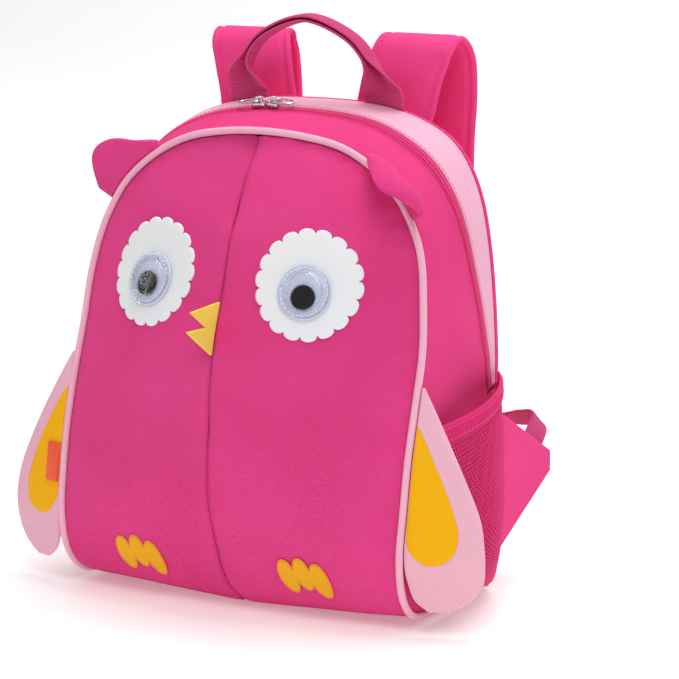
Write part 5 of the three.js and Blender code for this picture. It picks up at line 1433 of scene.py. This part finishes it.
both_sides(tab_cloth, "strap_tab_cloth", back_cloth, replaces=["strap_tab_{side}"], slot="strap_fabric")
tab_line = np.vstack([tab_at(np.full(40, 0.07), np.linspace(0.03, 0.9, 40)),
                      tab_at(np.full(40, 0.93), np.linspace(0.9, 0.03, 40))])
for side, sign in SIDES:
    for face, way in (("out", 1), ("in", -1)):
        row = (tab_line + [way * (TAB_WALL / 2 - 0.05), 0, 0]) * [sign, 1, 1]
        stitch_row(f"tab_stitch_{face}_{side}", row, np.broadcast_to([float(way * sign), 0, 0], row.shape),
                   thread_pink, 3.0, 2.1, 0.5, slot="strap_fabric")


def on_tab(y, z):
    """The tab's point at a place behind and up."""
    out = (y - SEAM_GAP) / (TAB_REACH - SEAM_GAP)
    top, bottom = tab_at(0, out)[2], tab_at(1, out)[2]
    return tab_at(np.clip((top - z) / (top - bottom), -0.5, 1), out)


# %% Lower webbing
edge_top = (tab_at(0, 0.52) + tab_at(0, 0.94)) / 2
upper_edge = unit(tab_at(0, 0.94) - tab_at(0, 0.5))
off_edge = unit(np.array([0, -upper_edge[2], upper_edge[1]]))


def anchor(distance):
    """A place on the tab's inner side, a distance beyond its upper edge."""
    place = edge_top + off_edge * distance
    x = on_tab(place[1], place[2])[0] - TAB_WALL / 2 - SEAM_GAP - WEB_WALL / 2
    return np.array([x, place[1], place[2]])


lower = -BUCKLE_HEIGHT / 2
tail_top = from_buckle(lower - 2, WEB_OFF)
meet = from_buckle(lower - 3, -WEB_OFF)
WEB_ROUTE = np.array([
    anchor(-12), anchor(0), anchor(12), (anchor(12) + meet) / 2 + [5, 4, 1], meet,
    from_buckle(lower * 0.4, -WEB_OFF),
    *[from_buckle(WEB_OFF * math.sin(a) + 0.4, -WEB_OFF * math.cos(a)) for a in half_turn],
    from_buckle(lower * 0.4, WEB_OFF), tail_top,
    *[tail_top + WEB_TAIL * t * np.array([0.12, 0.1, -1]) for t in (0.3, 0.65, 1)]])
web_share = np.linspace(0, 1, 240)
twist = smooth_between(web_share * (len(WEB_ROUTE) - 1), 1.3, 4.4)[:, None]
web_side = upper_edge * (1 - twist) + buckle_right * twist
both_sides(lambda sign: flat_webbing(WEB_ROUTE, web_side, 240), "strap_lower_webbing", webbing,
           replaces=["strap_webbing_{side}"], slot="webbing")

# %% [markdown]
# ## The back panel
# The panel that lies against the child's back is cloth over soft foam. Rows of stitches press the foam down
# into channels, so the pad is a smooth swelling less a narrow groove wherever a row runs: one row inside
# the seam all round, and two rows that leave a channel for the spine.

# %% Back panel
BACK_BORDER, SPINE_HALF = 9.0, 15.0
GROOVE_DEPTH, GROOVE_WIDTH = 1.5, 2.2
back_s, back_u = np.broadcast_arrays(LAST * (1 - np.cos(np.pi * np.linspace(0, 1, 150)))[:, None] / 2,
                                     np.sin(np.linspace(-1, 1, 151) * np.pi / 2)[None, :])
back_seam = rear_seam(back_s)
back_flat = np.stack([back_u * back_seam[..., 0] * (1 + 0.5 / BODY_HALF_WIDTH), back_seam[..., 1] + SEAM_GAP,
                      back_seam[..., 2] + 0.25 * (1 - 2 * back_s / LAST)], -1)
outline = rear_seam(np.linspace(-LAST, LAST, 500))[:, [0, 2]]
to_seam = np.full(back_s.shape, np.inf)
for piece in np.array_split(outline, 50):
    gap = back_flat[..., None, [0, 2]] - piece
    to_seam = np.minimum(to_seam, np.linalg.norm(gap, axis=-1).min(-1))
to_seam = np.minimum(to_seam, back_flat[..., 2])
grooves = np.exp(-((to_seam - BACK_BORDER) / GROOVE_WIDTH) ** 2)
inside = np.clip((to_seam - BACK_BORDER) / 2, 0, 1)
spine_grooves = np.exp(-((np.abs(back_flat[..., 0]) - SPINE_HALF) / GROOVE_WIDTH) ** 2)
grooves = np.maximum(grooves, spine_grooves * inside)
pad_dents = np.minimum(soft_waves(back_flat, 55, 71) * 0.5, 0.15) * inside
back_thick = back_depth(back_s, back_u) - GROOVE_DEPTH * grooves + pad_dents
backwards = np.broadcast_to([0.0, 1, 0], back_flat.shape)
points, faces, _ = sheet_shell(back_flat, back_thick, 0, normals=backwards)
back_uv = np.tile(back_flat[..., [0, 2]].reshape(-1, 2), (2, 1))
put("back_pad", points, faces, back_cloth, back_uv, replaces=["back_panel"], slot="back_fabric", padded=0.4)


def pad_surface(x, z):
    """The stitched groove's bottom at places across and up the panel."""
    s = solve_falling(lambda t: rear_seam(t)[..., 2], z, 0, LAST)
    seam = rear_seam(s)
    depth = back_depth(s, x / seam[..., 0])
    return np.stack([x, seam[..., 1] + SEAM_GAP + depth - GROOVE_DEPTH + 0.15, z], -1)


border_seam = rear_seam(np.linspace(-15.2, 15.2, 300))
border_way = unit(np.gradient(border_seam, axis=0))
border_in = np.stack([border_way[:, 2], 0 * border_way[:, 0], -border_way[:, 0]], -1)
border_line = border_seam + unit(border_in) * BACK_BORDER
border_line = border_line[border_line[:, 2] > BACK_BORDER]
facing_back = np.broadcast_to([0.0, 1, 0], (2, 3))
stitch_row("back_stitch_border", pad_surface(border_line[:, 0], border_line[:, 2]), facing_back,
           thread_pink, 3.2, 2.4, 0.55, slot="back_fabric")
for side, sign in SIDES:
    rise = np.linspace(BACK_BORDER, BODY_HEIGHT - BACK_BORDER - 2, 200)
    stitch_row(f"back_stitch_spine_{side}", pad_surface(np.full(200, sign * SPINE_HALF), rise), facing_back,
               thread_pink, 3.2, 2.4, 0.55, slot="back_fabric")
